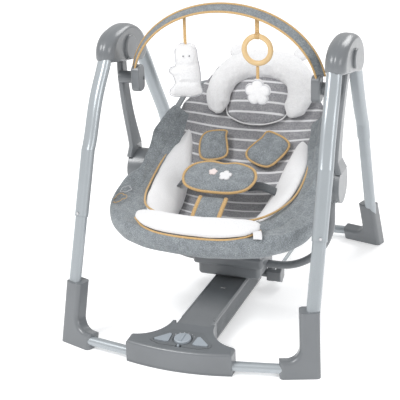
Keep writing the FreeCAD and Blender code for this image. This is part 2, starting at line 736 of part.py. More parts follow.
RING_Z = 528.0
RING_R = 26.0
RING_WIRE = 5.3


def toy_ring():
    x = TOY_RIGHT_X
    ring = Part.makeTorus(RING_R, RING_WIRE, V(x, ARCH_Y, RING_Z), Y_AXIS)
    strap = box(x - 4, ARCH_Y - 1.2, RING_Z + RING_R - 2, x + 4, ARCH_Y + 1.2, RIGHT_STRAP_TOP)
    save("toy_ring", ring.fuse(strap))


def plush_flower():
    x = TOY_RIGHT_X
    z = 446.0
    top = RING_Z - RING_R - RING_WIRE - GAP
    strap = box(x - 3.5, ARCH_Y - 1.2, z, x + 3.5, ARCH_Y + 1.2, top)
    flower = Part.makeCylinder(15.0, 16.0, V(x, ARCH_Y - 8, z), Y_AXIS)
    for i in range(5):
        a = math.radians(90 + 72 * i)
        centre = V(x + 15 * math.cos(a), ARCH_Y - 7, z + 15 * math.sin(a))
        flower = flower.fuse(Part.makeCylinder(10.0, 14.0, centre, Y_AXIS))
    save("plush_flower", flower.fuse(strap))


# ---------------------------------------------------------------- seat

def roll(path, radii):
    """A closed fabric roll: round sections joined by straight flanks."""
    wires = []
    for i, point in enumerate(path):
        wires.append(circle_wire(point, tangent_at(path, i), radii[i]))
    return Part.makeLoft(wires, True, True)


def bent_rod(loop, radius):
    """A closed loop of eight-sided rod: straight runs that overlap a little at the bends."""
    lap = radius * 0.5
    runs = []
    for a, b in zip(loop, loop[1:] + loop[:1]):
        start = V(*a)
        step = V(*b) - start
        along = V(step).normalize()
        side = along.cross(Z_AXIS).normalize()
        up = side.cross(along)
        corners = []
        for i in range(8):
            turn = math.radians(45 * i + 22.5)
            corners.append(start - along * lap + side * radius * math.cos(turn) + up * radius * math.sin(turn))
        face = Part.Face(Part.makePolygon(corners + corners[:1]))
        runs.append(face.extrude(step + along * 2 * lap))
    return runs[0].fuse(runs[1:])


def both_edges(edge):
    """A closed plan outline from its right-hand edge."""
    return edge + [(-x, y) for x, y in reversed(edge)]


def both_ways(path):
    """A path given for x >= 0 from the middle outwards, continued to the other side."""
    return [(-x, y, z) for x, y, z in reversed(path[1:])] + path


def slab(line, thickness, half_width):
    """A pad of even thickness below a line of (y, z) points."""
    under = []
    for i, (y, z) in enumerate(line):
        dy, dz = tangent_at(line, i)
        length = math.hypot(dy, dz)
        under.append((y + dz / length * thickness, z - dy / length * thickness))
    return prism_x(line + under[::-1], -half_width, half_width)


def seat_soft_parts():
    """Tube frame, fabric bolster round it, and the padded back and pan."""
    path = both_ways(BOLSTER_PATH)
    back_path = [(150, 150, 392), (90, 200, 400), (0, 206, 404)]
    right_side = [(min(x, SEAT_ROD_X), y, z) for x, y, z in BOLSTER_PATH] + back_path
    loop = right_side + [(-x, y, z) for x, y, z in right_side[-2:0:-1]]
    frame = bent_rod(loop, SEAT_ROD_R)
    y, z = RECLINE_AXIS
    for side in (1, -1):
        pin = cylinder_x(RECLINE_X[0] - 30, RECLINE_X[0] + 11.5, y, z, 14.0)
        pin = pin.fuse(cylinder_x(RECLINE_X[0] - 22, RECLINE_X[0] - 1, y, z, 25.0))
        frame = frame.fuse(pin if side > 0 else mirrored(pin))
    keep_out = both_sides(cylinder_x(RECLINE_X[0] - GAP - 0.5, RECLINE_X[1] + 40, y, z, RECLINE_R + 3))
    bolster = roll(path, [BOLSTER_R] * len(path))
    pad = slab(PAN_LINE, PAD_THICK, 200.0).common(prism_z(both_edges(PAD_EDGE), 100, 500))
    pad = pad.cut(bolster).cut(frame)
    bolster = bolster.cut(keep_out).cut(frame)
    save("seat_pad", pad)
    save("seat_frame", frame)
    save("seat_bolster", bolster)
    side_pads(bolster, frame, pad)


def side_pads(bolster, frame, pad):
    """White padded cheeks between the seat pad and the bolster."""
    inner = 106.0
    sections = []
    for y, low, high, outer in ((-196, 222, 250, 140), (-120, 206, 262, 152), (-40, 222, 286, 150),
                                (30, 276, 318, 146)):
        sections.append(Part.makePolygon([V(inner, y, low), V(outer, y, low), V(outer, y, high),
                                          V(outer - 14, y, high), V(inner, y, low + 10),
                                          V(inner, y, low)]))
    cheek = Part.makeLoft(sections, True, True)
    cheeks = both_sides(cheek.cut(bolster).cut(frame).cut(pad))
    save("side_pads", cheeks)


def front_pad():
    """Rolled front edge pad."""
    path = both_ways([(0, -241, 240), (60, -236, 239), (110, -222, 237)])
    full = roll(path, [15.0] * len(path))
    bolster_path = both_ways(BOLSTER_PATH)
    clear = roll(bolster_path, [BOLSTER_R] * len(bolster_path))
    save("front_pad", full.cut(clear))


def headrest():
    """Horseshoe-shaped plush cushion with a flat striped middle."""
    path = both_ways([(0, 186, 462), (52, 178, 456), (90, 158, 440), (98, 130, 414), (82, 104, 388)])
    arch = roll(path, [24.0, 27.0, 27.0, 27.0, 27.0, 27.0, 27.0, 27.0, 24.0])
    middle = slab([(84, 358), (150, 424)], 14.0, 60.0)
    lift = V(0, -15, 16)
    middle.translate(lift)
    whole = arch.fuse(middle)
    whole = whole.cut(slab(PAN_LINE, PAD_THICK + 30, SEAT_HALF + 30))
    save("headrest", max(whole.Solids, key=lambda solid: solid.Volume))


def harness():
    """Crotch strap, belly pad, shoulder pads and waist webbing."""
    save("crotch_strap", slab([(-192, 224), (-168, 240), (-142, 252)], 5.0, 30.0))
    belly = Part.makeCylinder(31.0, 11.0, ORIGIN, Z_AXIS)
    grow = FreeCAD.Matrix()
    grow.scale(V(2.2, 1.0, 1.0))
    belly = belly.transformGeometry(grow)
    belly.rotate(ORIGIN, X_AXIS, 24.0)
    belly.translate(V(0, -103, 267))
    save("belly_pad", belly)
    pads = []
    for side in (1, -1):
        pad = rounded_box(-26, -16, 0, 26, 16, 9, 4.0)
        pad.rotate(ORIGIN, Z_AXIS, side * 20)
        pad.rotate(ORIGIN, X_AXIS, 43.0)
        pad.translate(V(side * 54, 40, 292))
        pads.append(pad)
    save("shoulder_pads", Part.makeCompound(pads))
    straps = []
    for side in (1, -1):
        strap = prism_x([(-70, 238), (-38, 238), (-38, 241), (-70, 241)], 58, 102)
        strap.rotate(V(58, 0, 238), Y_AXIS, 12.0)
        straps.append(strap if side > 0 else mirrored(strap))
    save("waist_straps", Part.makeCompound(straps))


def rivets():
    """Snap rivets through the leg seams."""
    pins = []
    for top, end, seam in ((FRONT_TOP, FRONT_END, FRONT_SEAM_Z), (REAR_TOP, REAR_END, REAR_SEAM_Z)):
        x, y, z = point_at_z(top[-1], end, seam + 8)
        turn = math.radians(FRONT_TURN if y < 0 else REAR_TURN)
        out = V(math.sin(turn), -math.cos(turn), 0) if y < 0 else V(-math.sin(turn), math.cos(turn), 0)
        pins.append((V(x, y, z), out, y < 0))
    return pins


def frame_rivets():
    front = []
    rear = []
    for centre, out, is_front in rivets():
        pin = Part.makeCylinder(2.6, 2.2, centre + out * (OVAL_SHORT / 2 + 0.2), out)
        top = FRONT_TOP if is_front else REAR_TOP
        end = FRONT_END if is_front else REAR_END
        seam = FRONT_SEAM_Z if is_front else REAR_SEAM_Z
        upper, _ = leg_lines(top, end, seam)
        pin = pin.cut(oval_loft(upper, FRONT_TURN if is_front else REAR_TURN, OVAL_LONG, OVAL_SHORT))
        (front if is_front else rear).append(pin)
    save("front_rivets", both_sides(front[0]))
    save("rear_rivets", both_sides(rear[0]))


def main():
    os.makedirs("parts", exist_ok=True)
    front_legs()
    rear_legs()
    front_feet()
    rear_feet()
    crossbars()
    hubs()
    fold_buttons()
    pivot_pins()
    housing()
    housing_base()
    batteries()
    electronics()
    faceplate()
    knob_and_buttons()
    spine_shell()
    tee_bar()
    brace_rods()
    drive_coil()
    swing_arm()
    recline_housings()
    hanger_tube()
    drive_housing()
    toy_band()
    toy_clips()
    plush_animal()
    toy_ring()
    plush_flower()
    seat_soft_parts()
    front_pad()
    headrest()
    harness()
    frame_rivets()


main()
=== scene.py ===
import json
import math

import bpy
import numpy as np
from mathutils import Matrix, Vector, noise


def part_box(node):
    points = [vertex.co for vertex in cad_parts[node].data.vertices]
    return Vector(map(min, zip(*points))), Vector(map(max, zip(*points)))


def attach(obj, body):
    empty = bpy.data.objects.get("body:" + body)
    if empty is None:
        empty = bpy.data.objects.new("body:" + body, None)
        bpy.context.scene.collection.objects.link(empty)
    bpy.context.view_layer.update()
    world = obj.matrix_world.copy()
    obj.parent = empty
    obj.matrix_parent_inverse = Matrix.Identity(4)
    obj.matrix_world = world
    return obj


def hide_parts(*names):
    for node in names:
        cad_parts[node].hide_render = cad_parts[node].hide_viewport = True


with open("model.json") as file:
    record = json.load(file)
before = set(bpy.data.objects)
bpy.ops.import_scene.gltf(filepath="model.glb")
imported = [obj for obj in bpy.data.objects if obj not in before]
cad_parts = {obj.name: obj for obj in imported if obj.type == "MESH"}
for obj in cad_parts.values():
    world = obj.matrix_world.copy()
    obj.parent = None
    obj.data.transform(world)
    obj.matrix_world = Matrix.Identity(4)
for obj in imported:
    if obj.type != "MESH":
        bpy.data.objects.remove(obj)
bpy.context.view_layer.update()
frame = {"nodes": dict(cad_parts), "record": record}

NODES = frame["nodes"]
SCENE = bpy.context.scene

# Driving sizes, in metres, in the frame of the CAD model
RECLINE_AXIS = (0.0, 0.257)
DRUM_R = 0.039
DRUM_X = 0.183
ARCH_Y = -0.050
ARCH_A = 0.190
ARCH_B = 0.149
ARCH_Z0 = 0.455
BAND_WIDE = 0.025
BAND_THICK = 0.005
BAND_TILT = math.radians(30)
ARCH_FIRST = math.asin((0.480 - ARCH_Z0) / ARCH_B)
STRIPE_PITCH = 0.0250
PIPE_R = 0.0021               # radius of the tan piping
DRUM_FADE = 0.035             # width over which the bolster bends in beside a drum
DRUM_GAP = 0.0016
CLOTH_FRAMES = 20
HEADREST_PLACE = Vector((0.012, 0.179, 0.415))
BELLY_PLACE = Vector((-0.002, -0.097, 0.280))
SHOULDER_PLACE = (0.056, 0.040, 0.2965)
PLUSH_PLACE_Z = 0.478
RING_PLACE_Z = 0.528
RING_MAJOR = 0.026
FLOWER_PLACE_Z = 0.446
DIAL_PLACE = Vector((0, -0.323, 0.0455))
DIAL_TILT = math.radians(5)
DIAL_MARK_R = 0.0225
FLOOR_HALF = 9.0
WORLD_LIGHT = 0.64
PAN_LINE = [(-0.222, 0.214), (-0.165, 0.200), (-0.100, 0.196), (-0.040, 0.214), (0.020, 0.262),
            (0.110, 0.345), (0.196, 0.430)]
BOLSTER_PATH = [(0, -0.242, 0.205), (0.070, -0.236, 0.206), (0.130, -0.216, 0.209),
                (0.170, -0.172, 0.216), (0.182, -0.110, 0.230), (0.182, -0.050, 0.253),
                (0.178, 0.010, 0.285), (0.172, 0.060, 0.323), (0.160, 0.105, 0.362)]
BACK_ALONG = Vector((0, 0.735, 0.678)).normalized()
BACK_OUT = Vector((0, -0.678, 0.735)).normalized()
X_AXIS = Vector((1, 0, 0))
Y_AXIS = Vector((0, 1, 0))
Z_AXIS = Vector((0, 0, 1))


# ------------------------------------------------------------------ materials

class Material:
    """A principled material and short calls to build its node tree."""

    def __init__(self, name, roughness, metallic=0.0, sheen=0.0, coat=0.0, specular=0.5):
        self.data = bpy.data.materials.new(name)
        self.data.use_nodes = True
        self.tree = self.data.node_tree
        self.shader = self.tree.nodes["Principled BSDF"]
        self.shader.inputs["Roughness"].default_value = roughness
        self.shader.inputs["Metallic"].default_value = metallic
        self.shader.inputs["Sheen Weight"].default_value = sheen
        self.shader.inputs["Coat Weight"].default_value = coat
        self.shader.inputs["Specular IOR Level"].default_value = specular
        self.place = self.add("ShaderNodeTexCoord").outputs["Object"]

    def add(self, kind, **values):
        node = self.tree.nodes.new(kind)
        for key, value in values.items():
            if key in node.inputs:
                node.inputs[key].default_value = value
            else:
                setattr(node, key, value)
        return node

    def join(self, source, target):
        self.tree.links.new(source, target)

    def noise(self, scale, detail=3.0, distortion=0.0):
        node = self.add("ShaderNodeTexNoise", Scale=scale, Detail=detail, Distortion=distortion)
        self.join(self.place, node.inputs["Vector"])
        return node.outputs["Fac"]

    def ramp(self, source, stops):
        node = self.add("ShaderNodeValToRGB")
        ramp = node.color_ramp
        while len(ramp.elements) < len(stops):
            ramp.elements.new(0.5)
        for element, (at, colour) in zip(ramp.elements, stops):
            element.position = at
            element.color = (*colour, 1)
        self.join(source, node.inputs["Fac"])
        return node.outputs["Color"]

    def maths(self, operation, a, b=None):
        node = self.add("ShaderNodeMath", operation=operation)
        for socket, value in zip(node.inputs, (a, b)):
            if value is None:
                continue
            if isinstance(value, (int, float)):
                socket.default_value = value
            else:
                self.join(value, socket)
        return node.outputs[0]

    def mix(self, factor, a, b, blend="MIX"):
        node = self.add("ShaderNodeMix", data_type="RGBA", blend_type=blend)
        for socket, value in ((node.inputs[0], factor), (node.inputs[6], a), (node.inputs[7], b)):
            if isinstance(value, (int, float)):
                socket.default_value = value
            elif isinstance(value, tuple):
                socket.default_value = (*value, 1)
            else:
                self.join(value, socket)
        return node.outputs[2]

    def colour(self, source):
        self.join(source, self.shader.inputs["Base Color"])

    def roughness(self, source, low, high):
        node = self.add("ShaderNodeMapRange")
        node.inputs["To Min"].default_value = low
        node.inputs["To Max"].default_value = high
        self.join(source, node.inputs["Value"])
        self.join(node.outputs["Result"], self.shader.inputs["Roughness"])

    def bump(self, source, distance, strength=0.6):
        node = self.add("ShaderNodeBump", Strength=strength, Distance=distance)
        self.join(source, node.inputs["Height"])
        before = self.shader.inputs["Normal"].links
        if before:
            self.join(before[0].from_socket, node.inputs["Normal"])
        self.join(node.outputs["Normal"], self.shader.inputs["Normal"])


def shade(colour, factor):
    return tuple(min(1.0, c * factor) for c in colour)


def plastic(name, colour, roughness, coat=0.15, grain=0.00004):
    """Moulded plastic: faint colour drift, an uneven gloss and a fine moulded grain."""
    m = Material(name, roughness, coat=coat)
    drift = m.noise(9.0, 4.0)
    m.colour(m.ramp(drift, [(0.30, shade(colour, 0.93)), (0.70, shade(colour, 1.07))]))
    m.roughness(m.noise(60.0, 5.0), roughness - 0.06, roughness + 0.10)
    m.bump(m.noise(1400.0, 2.0), grain, 0.5)
    m.shader.inputs["Coat Roughness"].default_value = 0.20
    return m.data


def painted(name, colour, roughness, metallic):
    """Painted steel tube: metallic flake, a little orange peel and worn roughness."""
    m = Material(name, roughness, metallic=metallic, coat=0.25)
    flake = m.noise(2600.0, 1.0)
    base = m.ramp(flake, [(0.35, shade(colour, 0.93)), (0.65, shade(colour, 1.06))])
    wash = m.ramp(m.noise(6.0, 3.0), [(0.3, (0.93, 0.93, 0.93)), (0.7, (1, 1, 1))])
    m.colour(m.mix(1.0, base, wash, "MULTIPLY"))
    m.roughness(m.noise(40.0, 4.0), roughness - 0.05, roughness + 0.08)
    m.bump(m.noise(350.0, 2.0), 0.00004, 0.4)
    m.shader.inputs["Coat Roughness"].default_value = 0.22
    return m.data


def weave_bump(m, pitch, depth):
    """Threads crossing at right angles, from two wave textures."""
    for direction in ("X", "DIAGONAL"):
        wave = m.add("ShaderNodeTexWave", bands_direction=direction, Scale=1.0 / pitch, Distortion=1.5)
        m.join(m.place, wave.inputs["Vector"])
        m.bump(wave.outputs["Fac"], depth, 0.5)


def heather(name, colour):
    """Marled jersey: pale and dark flecks at thread scale over slow mottling."""
    m = Material(name, 0.92, sheen=0.25, specular=0.15)
    fleck = m.ramp(m.noise(520.0, 3.0), [(0.34, shade(colour, 0.74)), (0.5, colour),
                                         (0.68, shade(colour, 1.45))])
    mottle = m.ramp(m.noise(75.0, 5.0), [(0.36, (0.80, 0.80, 0.81)), (0.64, (1.0, 1.0, 1.0))])
    m.colour(m.mix(1.0, fleck, mottle, "MULTIPLY"))
    weave_bump(m, 0.0016, 0.00025)
    m.bump(m.noise(60.0, 3.0), 0.0009, 0.5)
    return m.data


def striped(name, colour, line):
    """Heather jersey with thin pale lines, one every STRIPE_PITCH along the cloth."""
    m = Material(name, 0.92, sheen=0.2, specular=0.15)
    along = m.add("ShaderNodeAttribute", attribute_name="along").outputs["Fac"]
    wobble = m.maths("MULTIPLY", m.noise(22.0, 2.0), 0.0022)
    turns = m.maths("DIVIDE", m.maths("ADD", along, wobble), STRIPE_PITCH)
    part = m.maths("FRACT", turns)
    edge = m.maths("ABSOLUTE", m.maths("SUBTRACT", part, 0.5))
    mask = m.maths("LESS_THAN", edge, 0.095)
    fleck = m.ramp(m.noise(520.0, 3.0), [(0.34, shade(colour, 0.76)), (0.5, colour),
                                         (0.68, shade(colour, 1.38))])
    mottle = m.ramp(m.noise(85.0, 4.0), [(0.36, (0.86, 0.86, 0.87)), (0.64, (1.0, 1.0, 1.0))])
    ground = m.mix(1.0, fleck, mottle, "MULTIPLY")
    m.colour(m.mix(mask, ground, line))
    weave_bump(m, 0.0016, 0.00025)
    m.bump(m.noise(45.0, 3.0), 0.0010, 0.5)
    return m.data


def plush(name, colour, pile=0.0011, scale=420.0):
    """Short white pile: clumped tufts and a soft sheen."""
    m = Material(name, 0.96, sheen=0.45, specular=0.1)
    tuft = m.noise(scale, 5.0, 0.6)
    m.colour(m.ramp(tuft, [(0.3, shade(colour, 0.90)), (0.6, colour)]))
    m.bump(tuft, pile, 0.6)
    m.bump(m.noise(70.0, 3.0), 0.0012, 0.5)
    return m.data


def cord_cloth(name, colour, pitch=0.0017):
    """Bias binding and webbing: close ribs across the strip."""
    m = Material(name, 0.85, sheen=0.2, specular=0.2)
    fleck = m.ramp(m.noise(700.0, 3.0), [(0.35, shade(colour, 0.80)), (0.65, shade(colour, 1.12))])
    m.colour(fleck)
    wave = m.add("ShaderNodeTexWave", bands_direction="DIAGONAL", Scale=1.0 / pitch, Distortion=0.6)
    m.join(m.place, wave.inputs["Vector"])
    m.bump(wave.outputs["Fac"], 0.0003, 0.6)
    return m.data


def metal(name, colour, roughness):
    m = Material(name, roughness, metallic=1.0)
    brushed = m.noise(180.0, 6.0, 0.3)
    m.colour(m.ramp(brushed, [(0.3, shade(colour, 0.85)), (0.7, colour)]))
    m.roughness(brushed, roughness - 0.08, roughness + 0.12)
    return m.data


DARK = (0.165, 0.176, 0.187)
SILVER = (0.42, 0.455, 0.48)
HEATHER = (0.272, 0.298, 0.315)
JERSEY = (0.345, 0.345, 0.362)
WHITE = (0.79, 0.79, 0.80)
TAN = (0.62, 0.41, 0.19)

MATERIALS = {
    "frame_silver": painted("frame_silver_paint", SILVER, 0.30, 0.40),
    "plastic_dark": plastic("dark_moulding", DARK, 0.30, 0.35, 0.00002),
    "plastic_base": plastic("matt_moulding", shade(DARK, 0.92), 0.46, 0.05, 0.00008),
    "button_light": plastic("light_keys", (0.36, 0.40, 0.44), 0.32, 0.2),
    "steel": metal("zinc_steel", (0.62, 0.62, 0.63), 0.32),
    "copper": metal("copper_wire", (0.72, 0.40, 0.22), 0.35),
    "board": plastic("solder_mask", (0.04, 0.20, 0.09), 0.35),
    "battery": painted("battery_sleeve", (0.10, 0.11, 0.12), 0.35, 0.2),
    "seat_tube": painted("seat_tube_paint", (0.36, 0.38, 0.40), 0.35, 0.4),
    "fabric_heather": heather("heather_jersey", HEATHER),
    "fabric_stripe": striped("striped_jersey", JERSEY, (0.80, 0.80, 0.82)),
    "fabric_white": plush("white_velour", WHITE, 0.0006, 700.0),
    "plush_white": plush("white_plush", WHITE),
    "webbing": cord_cloth("dark_webbing", (0.105, 0.115, 0.125)),
    "ring_tan": plastic("tan_ring", (0.66, 0.47, 0.24), 0.38, 0.1, 0.00006),
    "piping_tan": cord_cloth("tan_binding", TAN),
    "stitch": cord_cloth("pale_thread", (0.62, 0.63, 0.66), 0.0008),
    "applique": plush("pale_applique", (0.80, 0.70, 0.68), 0.0004, 900.0),
    "eye": plastic("eye_thread", (0.06, 0.07, 0.09), 0.4),
}


def dress_cad_nodes():
    for part in frame["record"]["subparts"]:
        node = NODES[part["node"]]
        node.data.materials.clear()
        node.data.materials.append(MATERIALS[part["material_slot"]])


# ------------------------------------------------------------------ mesh helpers

def smooth_path(points, step, closed=False):
    """Catmull-Rom through the points, sampled about every step."""
    p = [np.array(q, float) for q in points]
    if closed:
        p = [p[-1]] + p + [p[0], p[1]]
    else:
        p = [2 * p[0] - p[1]] + p + [2 * p[-1] - p[-2]]
    out = []
    for a, b, c, d in zip(p, p[1:], p[2:], p[3:]):
        n = max(2, int(np.linalg.norm(c - b) / step + 0.5))
        for i in range(n):
            t = i / n
            out.append(0.5 * (2 * b + (c - a) * t + (2 * a - 5 * b + 4 * c - d) * t * t
                              + (3 * b - a - 3 * c + d) * t ** 3))
    if not closed:
        out.append(p[-2])
    return np.array(out)


def side_name(side):
    return "right" if side > 0 else "left"


def both_ways(points):
    return [(-x, y, z) for x, y, z in reversed(points[1:])] + list(points)


def build(name, verts, faces, material, body, smooth=True):
    mesh = bpy.data.meshes.new(name)
    mesh.from_pydata([tuple(v) for v in verts], [], faces)
    mesh.validate()
    mesh.polygons.foreach_set("use_smooth", [smooth] * len(mesh.polygons))
    names = material if isinstance(material, (list, tuple)) else [material]
    for key in names:
        mesh.materials.append(MATERIALS[key])
    obj = bpy.data.objects.new(name, mesh)
    SCENE.collection.objects.link(obj)
    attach(obj, body)
    return obj


def subdivide(obj, levels=1):
    modifier = obj.modifiers.new("subdivision", "SUBSURF")
    modifier.levels = levels
    modifier.render_levels = levels
    return obj


def tangents(path, closed=False):
    if closed:
        t = np.roll(path, -1, axis=0) - np.roll(path, 1, axis=0)
    else:
        t = np.gradient(path, axis=0)
    return t / np.linalg.norm(t, axis=1)[:, None]


def carried_frames(path, up, closed=False):
    """Side and up directions at each point; up is carried along with the least turning."""
    t = tangents(path, closed)
    ups = []
    current = np.array(up, float)
    for d in t:
        current = current - d * current.dot(d)
        current = current / np.linalg.norm(current)
        ups.append(current)
    ups = np.array(ups)
    return np.cross(t, ups), ups


def sweep_mesh(path, sides, ups, section, closed=False):
    """Verts and faces of a skin over section(i), a list of (side, up) offsets."""
    verts = []
    for i, centre in enumerate(path):
        for a, b in section(i):
            verts.append(centre + sides[i] * a + ups[i] * b)
    m = len(section(0))
    n = len(path)
    faces = []
    for i in range(n if closed else n - 1):
        j = (i + 1) % n
        for k in range(m):
            q = (k + 1) % m
            faces.append((i * m + k, i * m + q, j * m + q, j * m + k))
    if not closed:
        faces.append(tuple(range(m))[::-1])
        faces.append(tuple((n - 1) * m + k for k in range(m)))
    return verts, faces


def tube(name, path, radius, material, body, sides=8, closed=False, up=(0.1, 0.2, 1.0)):
    """A round cord or piping along a dense path."""
    path = np.array(path, float)
    s, u = carried_frames(path, up, closed)
    ring = [(radius * math.cos(2 * math.pi * k / sides), radius * math.sin(2 * math.pi * k / sides))
            for k in range(sides)]
    verts, faces = sweep_mesh(path, s, u, lambda i: ring, closed)
    return build(name, verts, faces, material, body)


def ribbon(name, path, width, thick, material, body, up=(0, 0, 1), closed=False):
    """A flat strap along a path: up is the direction of its face, width lies across it."""
    path = np.array(path, float)
    s, u = carried_frames(path, up, closed)
    w, t = width / 2, thick / 2
    edge = min(t, w) * 0.6
    outline = [(-w, -t + edge), (-w, t - edge), (-w + edge, t), (-w * 0.5, t), (0, t), (w * 0.5, t),
               (w - edge, t), (w, t - edge), (w, -t + edge), (w - edge, -t), (0, -t), (-w + edge, -t)]
    verts, faces = sweep_mesh(path, s, u, lambda i: outline, closed)
    return build(name, verts, faces, material, body)


def grid_normals(points):
    du = np.gradient(points, axis=0)
    dv = np.gradient(points, axis=1)
    n = np.cross(du, dv)
    return n / np.maximum(np.linalg.norm(n, axis=2), 1e-9)[:, :, None]


def pad_mesh(points, top, bottom):
    """A closed pad round a grid of points (n, m, 3); top and bottom are (n, m) thicknesses.
    The border of the grid is the seam, where both faces meet.  The top is the upper side."""
    n, m, _ = points.shape
    normals = grid_normals(points)
    if normals[:, :, 2].mean() < 0:
        normals = -normals
    verts = list((points + normals * top[:, :, None]).reshape(-1, 3))
    index = {}
    for i in range(n):
        for j in range(m):
            if i in (0, n - 1) or j in (0, m - 1):
                index[(i, j)] = i * m + j
                verts[i * m + j] = points[i, j]
            else:
                index[(i, j)] = len(verts)
                verts.append(points[i, j] - normals[i, j] * bottom[i, j])
    faces = []
    for i in range(n - 1):
        for j in range(m - 1):
            faces.append((i * m + j, (i + 1) * m + j, (i + 1) * m + j + 1, i * m + j + 1))
    upper = len(faces)
    for i in range(n - 1):
        for j in range(m - 1):
            faces.append((index[(i, j)], index[(i, j + 1)], index[(i + 1, j + 1)], index[(i + 1, j)]))
    return verts, faces, upper


def crown(n, m, thickness, power=2.6):
    """Thickness of a crowned pad over an (n, m) grid: full in the middle, nothing at the seam."""
    a = np.linspace(-1, 1, n)[:, None]
    b = np.linspace(-1, 1, m)[None, :]
    return thickness * (1 - abs(a) ** power) ** 0.5 * (1 - abs(b) ** power) ** 0.5


def pillow_mesh(outline, centre, right, up, out, thickness, rings=8, back=0.6, power=2.2):
    """A closed cushion inside an outline of (a, b) points; faces bulge along out and back."""
    c = np.array(centre, float)
    r, u, o = (np.array(v, float) for v in (right, up, out))
    m = len(outline)
    verts = [c + o * thickness]
    for k in range(1, rings + 1):
        f = k / rings
        h = thickness * (1 - f ** power) ** 0.5
        for a, b in outline:
            verts.append(c + r * a * f + u * b * f + o * h)
    top_last = 1 + (rings - 1) * m
    verts.append(c - o * thickness * back)
    under_centre = len(verts) - 1
    for k in range(1, rings):
        f = k / rings
        h = thickness * back * (1 - f ** power) ** 0.5
        for a, b in outline:
            verts.append(c + r * a * f + u * b * f - o * h)
    faces = []
    for k in range(m):
        q = (k + 1) % m
        faces.append((0, 1 + k, 1 + q))
        for i in range(rings - 1):
            a = 1 + i * m
            faces.append((a + k, a + m + k, a + m + q, a + q))
        first = under_centre + 1
        faces.append((under_centre, first + q, first + k))
        for i in range(rings - 2):
            a = first + i * m
            faces.append((a + k, a + q, a + m + q, a + m + k))
        a = first + (rings - 2) * m
        faces.append((a + k, a + q, top_last + q, top_last + k))
    return verts, faces


def outline_path(outline, centre, right, up, lift=0.0, out=(0, 0, 1)):
    c = np.array(centre, float) + np.array(out, float) * lift
    return np.array([c + np.array(right) * a + np.array(up) * b for a, b in outline])


def sample_outline(points, step):
    """Smooth closed outline through 2-D points."""
    p = smooth_path([(a, b, 0) for a, b in points], step, closed=True)
    return [(q[0], q[1]) for q in p]


def ruffle(obj, size, depth, seed):
    """Soft irregular relief along the normals, the same each run."""
    mesh = obj.data
    normals = [v.normal.copy() for v in mesh.vertices]
    shift = Vector((seed, seed * 0.7, -seed))
    for v, n in zip(mesh.vertices, normals):
        value = noise.noise(v.co / size + shift) + 0.5 * noise.noise(v.co / size * 2.3 - shift)
        v.co += n * value * depth
    mesh.update()
    return obj


def inflate(obj, cap, pinned=None, pressure=4.0, stiffness=12.0):
    """Cloth under pressure on the piece's own mesh; pinned(co) gives the held share of a point."""
    mesh = obj.data
    rest = np.array([v.co for v in mesh.vertices], float)
    cloth = obj.modifiers.new("cloth", "CLOTH")
    settings = cloth.settings
    settings.quality = 6
    settings.mass = 0.2
    settings.tension_stiffness = stiffness
    settings.compression_stiffness = stiffness
    settings.shear_stiffness = stiffness * 0.5
    settings.bending_stiffness = 0.4
    settings.use_pressure = True
    settings.uniform_pressure_force = pressure
    settings.effector_weights.gravity = 0.0
    cloth.collision_settings.use_collision = False
    if pinned is not None:
        group = obj.vertex_groups.new(name="held")
        for v in mesh.vertices:
            weight = pinned(v.co)
            if weight > 0:
                group.add([v.index], min(1.0, weight), "REPLACE")
        settings.vertex_group_mass = "held"
    for number in range(1, CLOTH_FRAMES + 1):
        SCENE.frame_set(number)
    graph = bpy.context.evaluated_depsgraph_get()
    moved = obj.evaluated_get(graph).to_mesh()
    now = np.array([v.co for v in moved.vertices], float)
    obj.evaluated_get(graph).to_mesh_clear()
    obj.modifiers.remove(cloth)
    SCENE.frame_set(1)
    step = now - rest
    length = np.linalg.norm(step, axis=1)
    limit = np.minimum(1.0, cap / np.maximum(length, 1e-9))
    result = rest + step * limit[:, None]
    mesh.vertices.foreach_set("co", result.astype(np.float32).ravel())
    mesh.update()
    return obj


def set_along(obj, values):
    attribute = obj.data.attributes.new("along", "FLOAT", "POINT")
    attribute.data.foreach_set("value", np.array(values, np.float32))


# ------------------------------------------------------------------ seat

def pan_curve(count):
    """Arc length, y and z at even steps along the seat pad."""
    path = smooth_path([(0, y, z) for y, z in PAN_LINE], 0.004)
    lengths = np.concatenate([[0], np.cumsum(np.linalg.norm(np.diff(path, axis=0), axis=1))])
    at = np.linspace(0, lengths[-1], count)
    y = np.interp(at, lengths, path[:, 1])
    z = np.interp(at, lengths, path[:, 2])
    return at, y, z


def clear_drum(co, reach=0.0055):
    """Keeps a seat point out of the recline drum beside it."""
    dy = co[1] - RECLINE_AXIS[0]
    dz = co[2] - RECLINE_AXIS[1]
    d = math.hypot(dy, dz)
    limit = DRUM_X - DRUM_GAP
    soft = DRUM_R + reach
    if abs(co[0]) > limit and d < soft + DRUM_FADE:
        share = min(1.0, max(0.0, (soft + DRUM_FADE - d) / DRUM_FADE))
        share = share * share * (3 - 2 * share)
        x = abs(co[0]) + (limit - abs(co[0])) * share
        co[0] = math.copysign(x, co[0])
    return co


